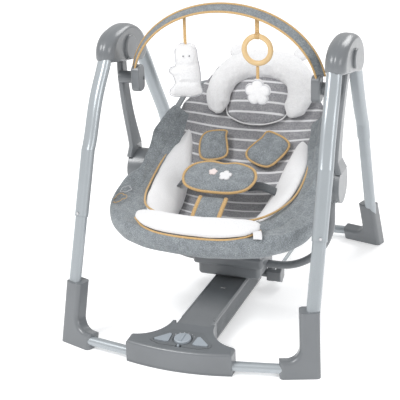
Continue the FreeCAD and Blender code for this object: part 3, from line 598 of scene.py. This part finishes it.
def seat_bolster():
    path = smooth_path(both_ways(BOLSTER_PATH), 0.006)
    t = tangents(path)
    outs = np.cross(t, np.array([0, 0, 1.0]))
    outs = outs / np.linalg.norm(outs, axis=1)[:, None]
    ups = np.cross(outs, t)
    lengths = np.concatenate([[0], np.cumsum(np.linalg.norm(np.diff(path, axis=0), axis=1))])
    total = lengths[-1]
    count = 36

    def section(i):
        end = min(lengths[i], total - lengths[i])
        outer = float(np.interp(path[i][1], [-0.110, -0.050, 0.020, 0.060], [0.031, 0.026, 0.013, 0.010]))
        inner = float(np.interp(path[i][1], [-0.200, -0.150, -0.080, 0.000, 0.060],
                                [0.029, 0.036, 0.029, 0.026, 0.023]))
        taper = 0.22 + 0.78 * min(1.0, end / 0.075) ** 0.55
        points = []
        for k in range(count):
            a = 2 * math.pi * k / count
            c, s = math.cos(a), math.sin(a)
            wide = outer if c > 0 else inner
            high = 0.026 if s > 0 else 0.029
            side = math.copysign(abs(c) ** 0.85, c) * wide
            rise = math.copysign(abs(s) ** 0.85, s) * high
            points.append(((side + 0.004 * s) * taper, rise * taper))
        return points

    verts, faces = sweep_mesh(path, outs, ups, section)
    verts = [clear_drum(np.array(v)) for v in verts]
    obj = build("seat_bolster_cover", verts, faces, "fabric_heather", "seat")
    ruffle(obj, 0.045, 0.0012, 3.1)
    inflate(obj, 0.004, stiffness=20.0)
    for v in obj.data.vertices:
        v.co = clear_drum(v.co)
    subdivide(obj)
    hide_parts("seat_bolster")
    return obj


def bolster_lining():
    """The covered strip between the rim's piping and the bolster, on both sides."""
    for side in (1, -1):
        rim = smooth_path([(side * x, y, z) for x, y, z in RIM], 0.006)
        path = smooth_path([(side * x, y, z) for x, y, z in BOLSTER_PATH], 0.004)
        n, m = len(rim), 9
        points = np.zeros((n, m, 3))
        for i in range(n):
            near = path[int(np.argmin(np.linalg.norm(path - rim[i], axis=1)))]
            start = rim[i] + np.array([-side * 0.011, 0, -0.0065])
            end = near + np.array([0, 0, 0.012])
            for j in range(m):
                f = j / (m - 1)
                points[i, j] = start * (1 - f) + end * f + np.array([0, 0, 0.004 * math.sin(math.pi * f)])
        if side > 0:
            points = points[:, ::-1]
        verts, faces, _ = pad_mesh(points, crown(n, m, 0.002, 6.0), crown(n, m, 0.002, 6.0))
        name = "bolster_lining_" + side_name(side)
        obj = build(name, verts, faces, "fabric_heather", "seat")
        flip_outwards(obj)
        subdivide(obj)


def seat_half_width(y):
    return float(np.interp(y, [-0.222, -0.165, -0.100, -0.040, 0.020, 0.070,
                               0.110, 0.128, 0.148, 0.172, 0.196],
                           [0.095, 0.118, 0.124, 0.126, 0.134, 0.148, 0.160, 0.158, 0.138, 0.116, 0.100]))


def seat_pad():
    n, m = 104, 52
    at, ys, zs = pan_curve(n)
    points = np.zeros((n, m, 3))
    along = np.zeros((n, m))
    for i in range(n):
        w = seat_half_width(ys[i])
        for j in range(m):
            u = -1 + 2 * j / (m - 1)
            flatter = 1.0 if ys[i] < 0.04 else max(0.35, 1 - (ys[i] - 0.04) * 7)
            lift = 0.020 * abs(u) ** 3 * flatter
            points[i, j] = (u * w, ys[i], zs[i] - 0.007 + lift)
            along[i, j] = at[i]
    top = crown(n, m, 0.009, 6.0)
    bottom = crown(n, m, 0.011, 6.0)
    verts, faces, upper = pad_mesh(points, top, bottom)
    obj = build("seat_pad_cover", verts, faces, ["fabric_stripe", "fabric_heather"], "seat")
    indices = [0 if k < upper else 1 for k in range(len(obj.data.polygons))]
    obj.data.polygons.foreach_set("material_index", indices)
    flat = list(along.reshape(-1))
    flat += [along[i, j] for i in range(1, n - 1) for j in range(1, m - 1)]
    set_along(obj, flat)
    flip_outwards(obj)
    ruffle(obj, 0.050, 0.0016, 7.7)
    inflate(obj, 0.005, pinned=lambda co: 1.0 if abs(co[0]) > 0.115 else 0.0, pressure=2.5)
    subdivide(obj)
    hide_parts("seat_pad")
    return obj


def flip_outwards(obj):
    """Makes the normals of a closed mesh point out."""
    import bmesh
    bm = bmesh.new()
    bm.from_mesh(obj.data)
    bmesh.ops.recalc_face_normals(bm, faces=bm.faces)
    bm.to_mesh(obj.data)
    bm.free()
    obj.data.update()


RIM = [(0.128, 0.104, 0.334), (0.137, 0.070, 0.314), (0.148, 0.020, 0.291), (0.152, -0.030, 0.272),
       (0.149, -0.085, 0.256), (0.138, -0.140, 0.250), (0.116, -0.189, 0.247), (0.080, -0.214, 0.242)]
RIM_INNER = [(0.124, 0.099, 0.336), (0.108, 0.062, 0.305), (0.098, 0.015, 0.266), (0.090, -0.035, 0.228),
             (0.083, -0.090, 0.207), (0.078, -0.140, 0.205), (0.070, -0.180, 0.211),
             (0.060, -0.205, 0.226)]


def side_pads():
    for side in (1, -1):
        outer = smooth_path([(side * x, y, z) for x, y, z in RIM], 0.0055)
        inner = smooth_path([(side * x, y, z) for x, y, z in RIM_INNER], 0.0055)
        n = len(outer)
        pick = np.linspace(0, len(inner) - 1, n)
        inner = np.array([[np.interp(p, range(len(inner)), inner[:, k]) for k in range(3)] for p in pick])
        m = 13
        points = np.zeros((n, m, 3))
        for j in range(m):
            f = j / (m - 1)
            points[:, j] = outer * (1 - f) + inner * f
        if side < 0:
            points = points[:, ::-1]
        top = crown(n, m, 0.010, 2.2)
        verts, faces, _ = pad_mesh(points, top, crown(n, m, 0.003, 2.2))
        obj = build("side_pad_" + side_name(side), verts, faces, "fabric_white",
                    "seat")
        flip_outwards(obj)
        ruffle(obj, 0.03, 0.0012, 1.7 * side)
        inflate(obj, 0.006, pressure=3.0)
        subdivide(obj)
        tube("side_piping_" + side_name(side), outer + np.array([side * 0.001, 0, 0.0015]),
             PIPE_R, "piping_tan", "seat")
    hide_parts("side_pads")


def front_pad():
    lower = smooth_path(both_ways([(0, -0.268, 0.227), (0.060, -0.262, 0.227), (0.100, -0.248, 0.231),
                                   (0.124, -0.228, 0.239)]), 0.006)
    upper = smooth_path(both_ways([(0, -0.233, 0.254), (0.060, -0.229, 0.254), (0.100, -0.222, 0.251),
                                   (0.124, -0.222, 0.245)]), 0.006)
    n = len(lower)
    pick = np.linspace(0, len(upper) - 1, n)
    upper = np.array([[np.interp(p, range(len(upper)), upper[:, k]) for k in range(3)] for p in pick])
    m = 13
    points = np.zeros((n, m, 3))
    for j in range(m):
        f = j / (m - 1)
        bow = np.array([0, -0.003, 0.003]) * math.sin(math.pi * f)
        points[:, j] = lower * (1 - f) + upper * f + bow
    top = crown(n, m, 0.011, 3.0)
    verts, faces, _ = pad_mesh(points, top, crown(n, m, 0.008, 3.0))
    obj = build("front_pad_cover", verts, faces, "fabric_white", "seat")
    flip_outwards(obj)
    ruffle(obj, 0.035, 0.0010, 5.5)
    inflate(obj, 0.005, pressure=3.0)
    subdivide(obj)
    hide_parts("front_pad")
    tube("front_piping", lower + np.array([0, -0.0012, -0.0008]), PIPE_R, "piping_tan", "seat")


def on_back(x, along, out):
    """A point given in the plane of the seat's back, about the middle of the headrest."""
    return HEADREST_PLACE + X_AXIS * x + BACK_ALONG * along + BACK_OUT * out


def headrest():
    shape = [(0.000, 0.020, 0.034), (0.045, 0.014, 0.034), (0.078, -0.010, 0.031), (0.091, -0.045, 0.028),
             (0.088, -0.080, 0.024), (0.080, -0.102, 0.018)]
    full = [(-x, a, r) for x, a, r in reversed(shape[1:])] + shape
    dense = smooth_path(full, 0.006)
    path = np.array([on_back(x, a, 0.016) for x, a, _ in dense])
    radii = dense[:, 2]
    t = tangents(path)
    outs = np.array([BACK_OUT] * len(path))
    sides = np.cross(t, outs)
    total = len(path)
    count = 28

    def section(i):
        end = min(i, total - 1 - i)
        taper = min(1.0, (0.15 + end / 3.6)) ** 0.6
        points = []
        for k in range(count):
            a = 2 * math.pi * k / count
            points.append((radii[i] * taper * math.cos(a), 0.70 * radii[i] * taper * math.sin(a)))
        return points

    verts, faces = sweep_mesh(path, sides, outs, section)
    obj = build("headrest_plush", verts, faces, "plush_white", "seat")
    flip_outwards(obj)
    inflate(obj, 0.005)
    subdivide(obj, 2)
    apply_modifiers(obj)
    ruffle(obj, 0.010, 0.0010, 2.2)
    ruffle(obj, 0.035, 0.0018, 6.2)
    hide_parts("headrest")
    for side in (1, -1):
        ear = sample_outline([(0, 0.020), (0.015, 0.012), (0.017, -0.006), (0, -0.016), (-0.017, -0.006),
                              (-0.015, 0.012)], 0.004)
        v, f = pillow_mesh(ear, on_back(side * 0.070, 0.050, 0.014), X_AXIS, BACK_ALONG, BACK_OUT, 0.010)
        piece = build("headrest_ear_" + side_name(side), v, f, "plush_white", "seat")
        flip_outwards(piece)
        subdivide(piece)
    middle = sample_outline([(0, 0.012), (0.040, 0.004), (0.064, -0.030), (0.068, -0.070),
                             (0.060, -0.100),
                             (0.030, -0.116), (0, -0.120), (-0.030, -0.116), (-0.060, -0.100),
                             (-0.068, -0.070), (-0.064, -0.030), (-0.040, 0.004)], 0.006)
    centre = on_back(0, -0.050, 0.004)
    shifted = [(a, b + 0.050) for a, b in middle]
    v, f = pillow_mesh(shifted, centre, X_AXIS, BACK_ALONG, BACK_OUT, 0.011, rings=10)
    piece = build("headrest_middle", v, f, "fabric_stripe", "seat")
    flip_outwards(piece)
    set_along(piece, [(Vector(p) - centre).dot(BACK_ALONG) + 0.006 for p in v])
    subdivide(piece)
    hem = [q for q in shifted if q[1] < -0.020]
    lower = outline_path(hem, centre, X_AXIS, BACK_ALONG, 0.001, BACK_OUT)
    order = sorted(range(len(lower)), key=lambda k: lower[k][0])
    tube("headrest_binding", lower[order], 0.0016, "fabric_white", "seat")


def apply_modifiers(obj):
    graph = bpy.context.evaluated_depsgraph_get()
    mesh = bpy.data.meshes.new_from_object(obj.evaluated_get(graph))
    obj.modifiers.clear()
    obj.data = mesh


def belly_pad():
    out = Vector((0, -0.42, 0.907)).normalized()
    along = Vector((0, 0.907, 0.42)).normalized()
    centre = BELLY_PLACE
    outline = sample_outline([(0.073, 0.008), (0.061, 0.034), (0.028, 0.046), (0, 0.042), (-0.028, 0.046),
                              (-0.061, 0.034), (-0.073, 0.008), (-0.064, -0.020), (-0.038, -0.034),
                              (0, -0.037), (0.038, -0.034), (0.064, -0.020)], 0.005)
    v, f = pillow_mesh(outline, centre, X_AXIS, along, out, 0.008, rings=12, back=0.5, power=3.0)
    obj = build("belly_pad_cover", v, f, "fabric_heather", "seat")
    flip_outwards(obj)
    ruffle(obj, 0.020, 0.0014, 9.3)
    subdivide(obj)
    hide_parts("belly_pad")
    tube("belly_piping", outline_path(outline, centre, X_AXIS, along, 0.0005, out), 0.0028, "piping_tan",
         "seat", closed=True)
    for index, (x, a, size, key) in enumerate(((0.014, 0.004, 0.0140, "fabric_white"),
                                               (-0.013, 0.011, 0.0095, "applique"))):
        petals = flower_outline(size, 0.30, 5)
        place = centre + X_AXIS * x + along * a + out * 0.0082
        v, f = pillow_mesh(petals, place, X_AXIS, along, out, 0.0012, rings=4)
        piece = build("belly_flower_%d" % (index + 1), v, f, key, "seat")
        flip_outwards(piece)


def flower_outline(radius, depth, lobes, count=60):
    points = []
    for k in range(count):
        a = 2 * math.pi * k / count
        r = radius * (1 - depth * (1 - abs(math.cos(lobes * a / 2)) ** 0.60))
        points.append((r * math.sin(a), r * math.cos(a)))
    return points


def crotch_strap():
    line = smooth_path([(0, -0.196, 0.216), (0, -0.180, 0.233), (0, -0.160, 0.244),
                        (0, -0.134, 0.255)], 0.004)
    obj = ribbon("crotch_strap_cover", line, 0.050, 0.005, "fabric_heather", "seat")
    subdivide(obj)
    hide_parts("crotch_strap")
    s, u = carried_frames(line, (0, 0, 1))
    for side in (1, -1):
        edge = line + s * side * 0.026 + u * 0.0008
        ribbon("crotch_binding_" + side_name(side), edge, 0.008, 0.0062, "piping_tan",
               "seat")
    return obj


def shoulder_pads():
    for side, turn in ((1, -24), (-1, 8)):
        a = math.radians(turn)
        right = X_AXIS * math.cos(a) + BACK_ALONG * math.sin(a)
        up = BACK_ALONG * math.cos(a) - X_AXIS * math.sin(a)
        x, y, z = SHOULDER_PLACE
        centre = Vector((side * x, y, z)) + BACK_OUT * 0.006 + BACK_ALONG * 0.004
        grow = 1.12 if side > 0 else 1.0
        outline = sample_outline([(0.020, 0.032), (0.034 if side > 0 else 0.022, 0.018), (0.028, -0.022),
                                  (0.012, -0.034), (-0.018, -0.034), (-0.030, -0.020),
                                  (-0.031 if side < 0 else -0.022, 0.014), (-0.018, 0.031)], 0.004)
        outline = [(a * grow, b * grow) for a, b in outline]
        v, f = pillow_mesh(outline, centre, right, up, BACK_OUT, 0.0075, rings=8, back=0.5, power=3.0)
        name = "shoulder_pad_" + side_name(side)
        obj = build(name, v, f, "fabric_heather", "seat")
        flip_outwards(obj)
        ruffle(obj, 0.016, 0.0009, 4.4 * side)
        subdivide(obj)
        tube(name + "_piping", outline_path(outline, centre, right, up, 0.0003, BACK_OUT), 0.0024,
             "piping_tan", "seat", closed=True)
    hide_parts("shoulder_pads")


def waist_straps():
    for side in (1, -1):
        line = smooth_path([(side * 0.050, -0.078, 0.262), (side * 0.074, -0.068, 0.262),
                            (side * 0.098, -0.056, 0.250), (side * 0.108, -0.050, 0.240)], 0.004)
        name = "waist_strap_" + side_name(side)
        obj = ribbon(name, line, 0.024, 0.0024, "webbing", "seat", up=(0, -0.4, 0.9))
    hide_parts("waist_straps")


def blank_tag():
    """A small plain care tag sewn into the front seam."""
    line = smooth_path([(0.118, -0.236, 0.240), (0.123, -0.247, 0.238), (0.126, -0.256, 0.232)], 0.003)
    ribbon("blank_tag", line, 0.016, 0.0008, "fabric_white", "seat", up=(0.3, -0.5, 0.8))


def bolster_stitching():
    """A plain little flower and a leaf line, sewn on the bolster's left shoulder."""
    path = smooth_path(both_ways(BOLSTER_PATH), 0.006)
    t = tangents(path)
    outs = np.cross(t, np.array([0, 0, 1.0]))
    outs = outs / np.linalg.norm(outs, axis=1)[:, None]
    ups = np.cross(outs, t)
    for name, near, size, key in (("stitched_flower", (-0.182, -0.120, 0.228), 0.011, "stitch"),
                                  ("stitched_leaf", (-0.176, -0.152, 0.220), 0.016, "piping_tan")):
        i = int(np.argmin(np.linalg.norm(path - np.array(near), axis=1)))
        turn = math.radians(80 if key == "stitch" else 66)
        points = []
        for a, b in flower_outline(size, 0.35, 5 if key == "stitch" else 4, 56):
            angle = turn + b / 0.030
            wide = 0.0330 * math.cos(angle)
            high = 0.0284 * math.sin(angle)
            points.append(path[i] + outs[i] * wide + ups[i] * high + t[i] * a)
        tube(name, points, 0.0007, key, "seat", sides=6, closed=True)


# ------------------------------------------------------------------ toy bar

def arch_point(angle, across=0.0, off=0.0):
    """A point on the band: across runs over its width, off out of its face."""
    normal = Vector((math.cos(angle) / ARCH_A, 0, math.sin(angle) / ARCH_B)).normalized()
    wide = normal * math.sin(BAND_TILT) + Y_AXIS * math.cos(BAND_TILT)
    thin = normal * math.cos(BAND_TILT) - Y_AXIS * math.sin(BAND_TILT)
    base = Vector((ARCH_A * math.cos(angle), ARCH_Y, ARCH_Z0 + ARCH_B * math.sin(angle)))
    return base + wide * across + thin * off


def toy_band():
    count = 110
    angles = [ARCH_FIRST + (math.pi - 2 * ARCH_FIRST) * i / (count - 1) for i in range(count)]
    w = BAND_WIDE / 2 - 0.001
    t = BAND_THICK / 2
    outline = [(-w, -t * 0.5), (-w, t * 0.5), (-w * 0.8, t * 0.9), (-w * 0.4, t * 1.1), (0, t * 1.15),
               (w * 0.4, t * 1.1), (w * 0.8, t * 0.9), (w, t * 0.5), (w, -t * 0.5), (w * 0.7, -t),
               (0, -t), (-w * 0.7, -t)]
    verts = [arch_point(a, x, y) for a in angles for x, y in outline]
    m = len(outline)
    faces = []
    for i in range(count - 1):
        for k in range(m):
            q = (k + 1) % m
            faces.append((i * m + k, (i + 1) * m + k, (i + 1) * m + q, i * m + q))
    faces.append(tuple(range(m)))
    faces.append(tuple((count - 1) * m + k for k in range(m))[::-1])
    obj = build("toy_band_cover", verts, faces, "fabric_heather", "toy_bar")
    flip_outwards(obj)
    ruffle(obj, 0.020, 0.0004, 1.1)
    subdivide(obj)
    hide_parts("toy_band")
    for across, name in ((w, "rear"), (-w, "front")):
        path = [arch_point(a, across * 1.02, 0.0016) for a in angles]
        tube("toy_band_piping_" + name, path, 0.0022, "piping_tan", "toy_bar",
             up=(0, 1, 0))


PLUSH_X = -0.079
RING_X = 0.066


def strap_loop(name, x, z0, z1, body, width=0.006):
    line = [(x, ARCH_Y, z1 - (z1 - z0) * i / 8) for i in range(9)]
    return ribbon(name, line, width, 0.0018, "piping_tan", body, up=(0, -1, 0))


def plush_animal():
    centre = Vector((PLUSH_X, ARCH_Y, PLUSH_PLACE_Z))
    face = Vector((0.30, -0.95, 0)).normalized()
    right = Vector((0.95, 0.30, 0)).normalized()
    outline = sample_outline([(0.000, 0.052), (0.010, 0.050), (0.017, 0.040), (0.018, 0.026),
                              (0.020, 0.014),
                              (0.022, -0.006), (0.022, -0.026), (0.024, -0.040), (0.012, -0.046),
                              (-0.006, -0.046), (-0.024, -0.044), (-0.026, -0.034), (-0.018, -0.022),
                              (-0.020, -0.008), (-0.026, 0.000), (-0.024, 0.008), (-0.016, 0.012),
                              (-0.016, 0.026), (-0.016, 0.040), (-0.010, 0.050)], 0.0035)
    outline = [(a * 1.26, b * 1.08) for a, b in outline]
    v, f = pillow_mesh(outline, centre, right, Z_AXIS, face, 0.016, rings=12, back=1.0, power=2.4)
    obj = build("plush_bear", v, f, "plush_white", "plush_toy")
    flip_outwards(obj)
    for vert in obj.data.vertices:
        height = vert.co.z - centre.z
        crease = 0.0
        for at in (0.016, -0.018):
            crease += math.exp(-((height - at) / 0.0022) ** 2)
        depth = (vert.co - centre).dot(face)
        vert.co -= face * depth * 0.28 * min(1.0, crease)
    subdivide(obj)
    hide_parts("plush_animal")
    seam = outline_path(outline, centre, right, Z_AXIS, 0, face)
    tube("plush_bear_seam", seam, 0.0009, "stitch", "plush_toy", sides=6, closed=True)
    for side in (1, -1):
        ear = sample_outline([(0, 0.008), (0.007, 0.004), (0.006, -0.006), (-0.006, -0.006),
                              (-0.007, 0.004)], 0.003)
        place = centre + right * (side * 0.013) + Z_AXIS * 0.048
        v, f = pillow_mesh(ear, place, right, Z_AXIS, face, 0.004, rings=4, back=1.0)
        piece = build("plush_bear_ear_" + side_name(side), v, f, "plush_white",
                      "plush_toy")
        flip_outwards(piece)
        subdivide(piece)
        eye = sample_outline([(0, 0.0016), (0.0014, 0), (0, -0.0016), (-0.0014, 0)], 0.001)
        place = centre + right * (0.002 + side * 0.006) + Z_AXIS * 0.034 + face * 0.0150
        v, f = pillow_mesh(eye, place, right, Z_AXIS, face, 0.0008, rings=3)
        piece = build("plush_bear_eye_" + side_name(side), v, f, "eye", "plush_toy")
        flip_outwards(piece)
    for number, (at, half) in enumerate(((0.016, 0.0170), (-0.018, 0.0190))):
        line = []
        for i in range(13):
            x = -half + 2 * half * i / 12
            out = 0.0118 * (1 - (x / 0.0245) ** 2)
            line.append(centre + right * x + Z_AXIS * at + face * out)
        tube("plush_bear_stitch_%d" % (number + 1), line, 0.0006, "stitch", "plush_toy",
             sides=6)
    strap_loop("plush_strap", PLUSH_X, 0.524, 0.5850, "plush_toy")


def toy_ring():
    centre = Vector((RING_X, ARCH_Y, RING_PLACE_Z))
    count = 72
    major = RING_MAJOR
    path = []
    for k in range(count):
        a = 2 * math.pi * k / count
        path.append(centre + X_AXIS * major * math.cos(a) + Z_AXIS * major * math.sin(a))
    path = np.array(path)
    outward = np.array([(p - np.array(centre)) / major for p in path])
    across = np.array([[0, 1.0, 0]] * count)
    m = 16

    def section(i):
        ripple = 1 + 0.03 * math.cos(12 * 2 * math.pi * i / count)
        return [(0.0053 * ripple * math.cos(2 * math.pi * k / m), 0.0048 * math.sin(2 * math.pi * k / m))
                for k in range(m)]

    verts, faces = sweep_mesh(path, outward, across, section, closed=True)
    obj = build("teether_ring", verts, faces, "ring_tan", "ring_toy")
    flip_outwards(obj)
    subdivide(obj)
    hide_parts("toy_ring")
    strap_loop("ring_strap", RING_X, 0.5590, 0.5890, "ring_toy", 0.008)
    sleeve = []
    for i in range(14):
        b = math.radians(90) + (i - 6.5) * 0.022
        sleeve.append(centre + X_AXIS * major * math.cos(b) + Z_AXIS * major * math.sin(b))
    tube("ring_sleeve_1", sleeve, 0.0061, "piping_tan", "ring_toy", sides=16,
         up=(0, 1, 0))


def plush_flower():
    centre = Vector((RING_X, ARCH_Y, FLOWER_PLACE_Z))
    face = Vector((0, -1, 0))
    outline = flower_outline(0.0275, 0.27, 5, 120)
    v, f = pillow_mesh(outline, centre, X_AXIS, Z_AXIS, face, 0.0075, rings=9, back=0.9, power=2.6)
    obj = build("soft_flower", v, f, "plush_white", "flower_toy")
    flip_outwards(obj)
    subdivide(obj)
    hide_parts("plush_flower")
    seam = [(a * 0.90, b * 0.90) for a, b in outline]
    line = outline_path(seam, centre, X_AXIS, Z_AXIS, 0.0042, face)
    tube("flower_stitch", line, 0.0006, "stitch", "flower_toy", sides=6, closed=True)
    strap_loop("flower_strap", RING_X, 0.468, 0.4962, "flower_toy", 0.006)


# ------------------------------------------------------------------ moulded details

def spine_ribs():
    """Low ribs on both walls of the spine."""
    low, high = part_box("spine_shell")
    verts = []
    faces = []
    start, stop = low.y + 0.060, high.y - 0.030
    count = int((stop - start) / 0.0065)
    for side in (1, -1):
        x0 = side * (high.x - 0.0006)
        x1 = side * (high.x + 0.0007)
        for i in range(count):
            y = start + (stop - start) * i / (count - 1)
            z0, z1 = 0.0095, 0.0415
            b = len(verts)
            for yy, zz in ((y - 0.0013, z0), (y + 0.0013, z0), (y + 0.0013, z1), (y - 0.0013, z1)):
                verts.append((x0, yy, zz))
            for yy, zz in ((y - 0.0006, z0 + 0.001), (y + 0.0006, z0 + 0.001), (y + 0.0006, z1 - 0.001),
                           (y - 0.0006, z1 - 0.001)):
                verts.append((x1, yy, zz))
            faces += [(b, b + 1, b + 5, b + 4), (b + 1, b + 2, b + 6, b + 5),
                      (b + 2, b + 3, b + 7, b + 6), (b + 3, b, b + 4, b + 7),
                      (b + 4, b + 5, b + 6, b + 7), (b + 3, b + 2, b + 1, b)]
    obj = build("spine_ribs", verts, faces, "plastic_base", "spine", smooth=False)
    flip_outwards(obj)


def dial_marks():
    """Plain tick marks round the speed knob."""
    along = Vector((0, math.cos(DIAL_TILT), math.sin(DIAL_TILT)))
    out = Vector((0, -math.sin(DIAL_TILT), math.cos(DIAL_TILT)))
    for number in range(6):
        a = math.radians(90 + (number - 2.5) * 22)
        spoke = X_AXIS * math.cos(a) + along * math.sin(a)
        place = DIAL_PLACE + spoke * DIAL_MARK_R + out * 0.0009
        size = 0.0006 + 0.00018 * number
        mark = [(size * math.cos(b), size * math.sin(b)) for b in np.linspace(0, 2 * math.pi, 13)[:-1]]
        v, f = pillow_mesh(mark, place, X_AXIS, along, out, 0.0004, rings=3)
        piece = build("dial_mark_%d" % (number + 1), v, f, "stitch", "front_frame")
        flip_outwards(piece)


# ------------------------------------------------------------------ studio

def floor():
    size = FLOOR_HALF
    count = 24
    verts = []
    for i in range(count + 1):
        for j in range(count + 1):
            verts.append((-size + 2 * size * i / count, -size + 2 * size * j / count, -0.0006))
    w = count + 1
    faces = [(i * w + j, (i + 1) * w + j, (i + 1) * w + j + 1, i * w + j + 1)
             for i in range(count) for j in range(count)]
    mesh = bpy.data.meshes.new("studio_floor")
    mesh.from_pydata(verts, [], faces)
    m = Material("pale_floor", 0.55, specular=0.2)
    m.colour(m.ramp(m.noise(2.0, 3.0), [(0.3, (0.90, 0.90, 0.905)), (0.7, (0.92, 0.92, 0.925))]))
    m.shader.inputs["Emission Color"].default_value = (1.0, 1.0, 1.0, 1.0)
    m.shader.inputs["Emission Strength"].default_value = 0.36
    mesh.materials.append(m.data)
    obj = bpy.data.objects.new("studio_floor", mesh)
    SCENE.collection.objects.link(obj)


def area_light(name, place, aim, size, power):
    data = bpy.data.lights.new(name, "AREA")
    data.energy = power
    data.size = size
    obj = bpy.data.objects.new(name, data)
    direction = Vector(aim) - Vector(place)
    obj.location = place
    obj.rotation_euler = direction.to_track_quat("-Z", "Y").to_euler()
    SCENE.collection.objects.link(obj)


def studio():
    floor()
    world = bpy.data.worlds.new("studio")
    world.use_nodes = True
    background = world.node_tree.nodes["Background"]
    background.inputs["Color"].default_value = (1.0, 1.0, 1.0, 1)
    background.inputs["Strength"].default_value = WORLD_LIGHT
    SCENE.view_settings.view_transform = "Standard"
    SCENE.world = world
    area_light("key", (-1.6, -2.2, 3.2), (0, 0, 0.25), 1.5, 84)
    area_light("fill", (2.8, -1.4, 1.9), (0, 0, 0.3), 1.4, 27)
    area_light("rim", (0.8, 2.6, 2.6), (0, 0, 0.3), 1.6, 38)


def camera():
    azimuth = math.radians(20.67)
    elevation = math.radians(20.67)
    roll = math.radians(-1.98)
    place = Vector((0.6787, -2.0069, 1.0030))
    forward = Vector((-math.sin(azimuth) * math.cos(elevation), math.cos(azimuth) * math.cos(elevation),
                      -math.sin(elevation)))
    level = Vector((math.cos(azimuth), math.sin(azimuth), 0))
    upright = level.cross(forward)
    right = level * math.cos(roll) + upright * math.sin(roll)
    up = upright * math.cos(roll) - level * math.sin(roll)
    data = bpy.data.cameras.new("camera")
    data.sensor_width = 36.0
    data.lens = 99.8
    obj = bpy.data.objects.new("camera", data)
    turn = Matrix((right, up, -forward)).transposed()
    obj.matrix_world = Matrix.Translation(place) @ turn.to_4x4()
    SCENE.collection.objects.link(obj)
    SCENE.camera = obj


camera()
dress_cad_nodes()
seat_bolster()
bolster_lining()
seat_pad()
side_pads()
front_pad()
headrest()
belly_pad()
crotch_strap()
shoulder_pads()
waist_straps()
blank_tag()
bolster_stitching()
toy_band()
plush_animal()
toy_ring()
plush_flower()
spine_ribs()
dial_marks()
studio()
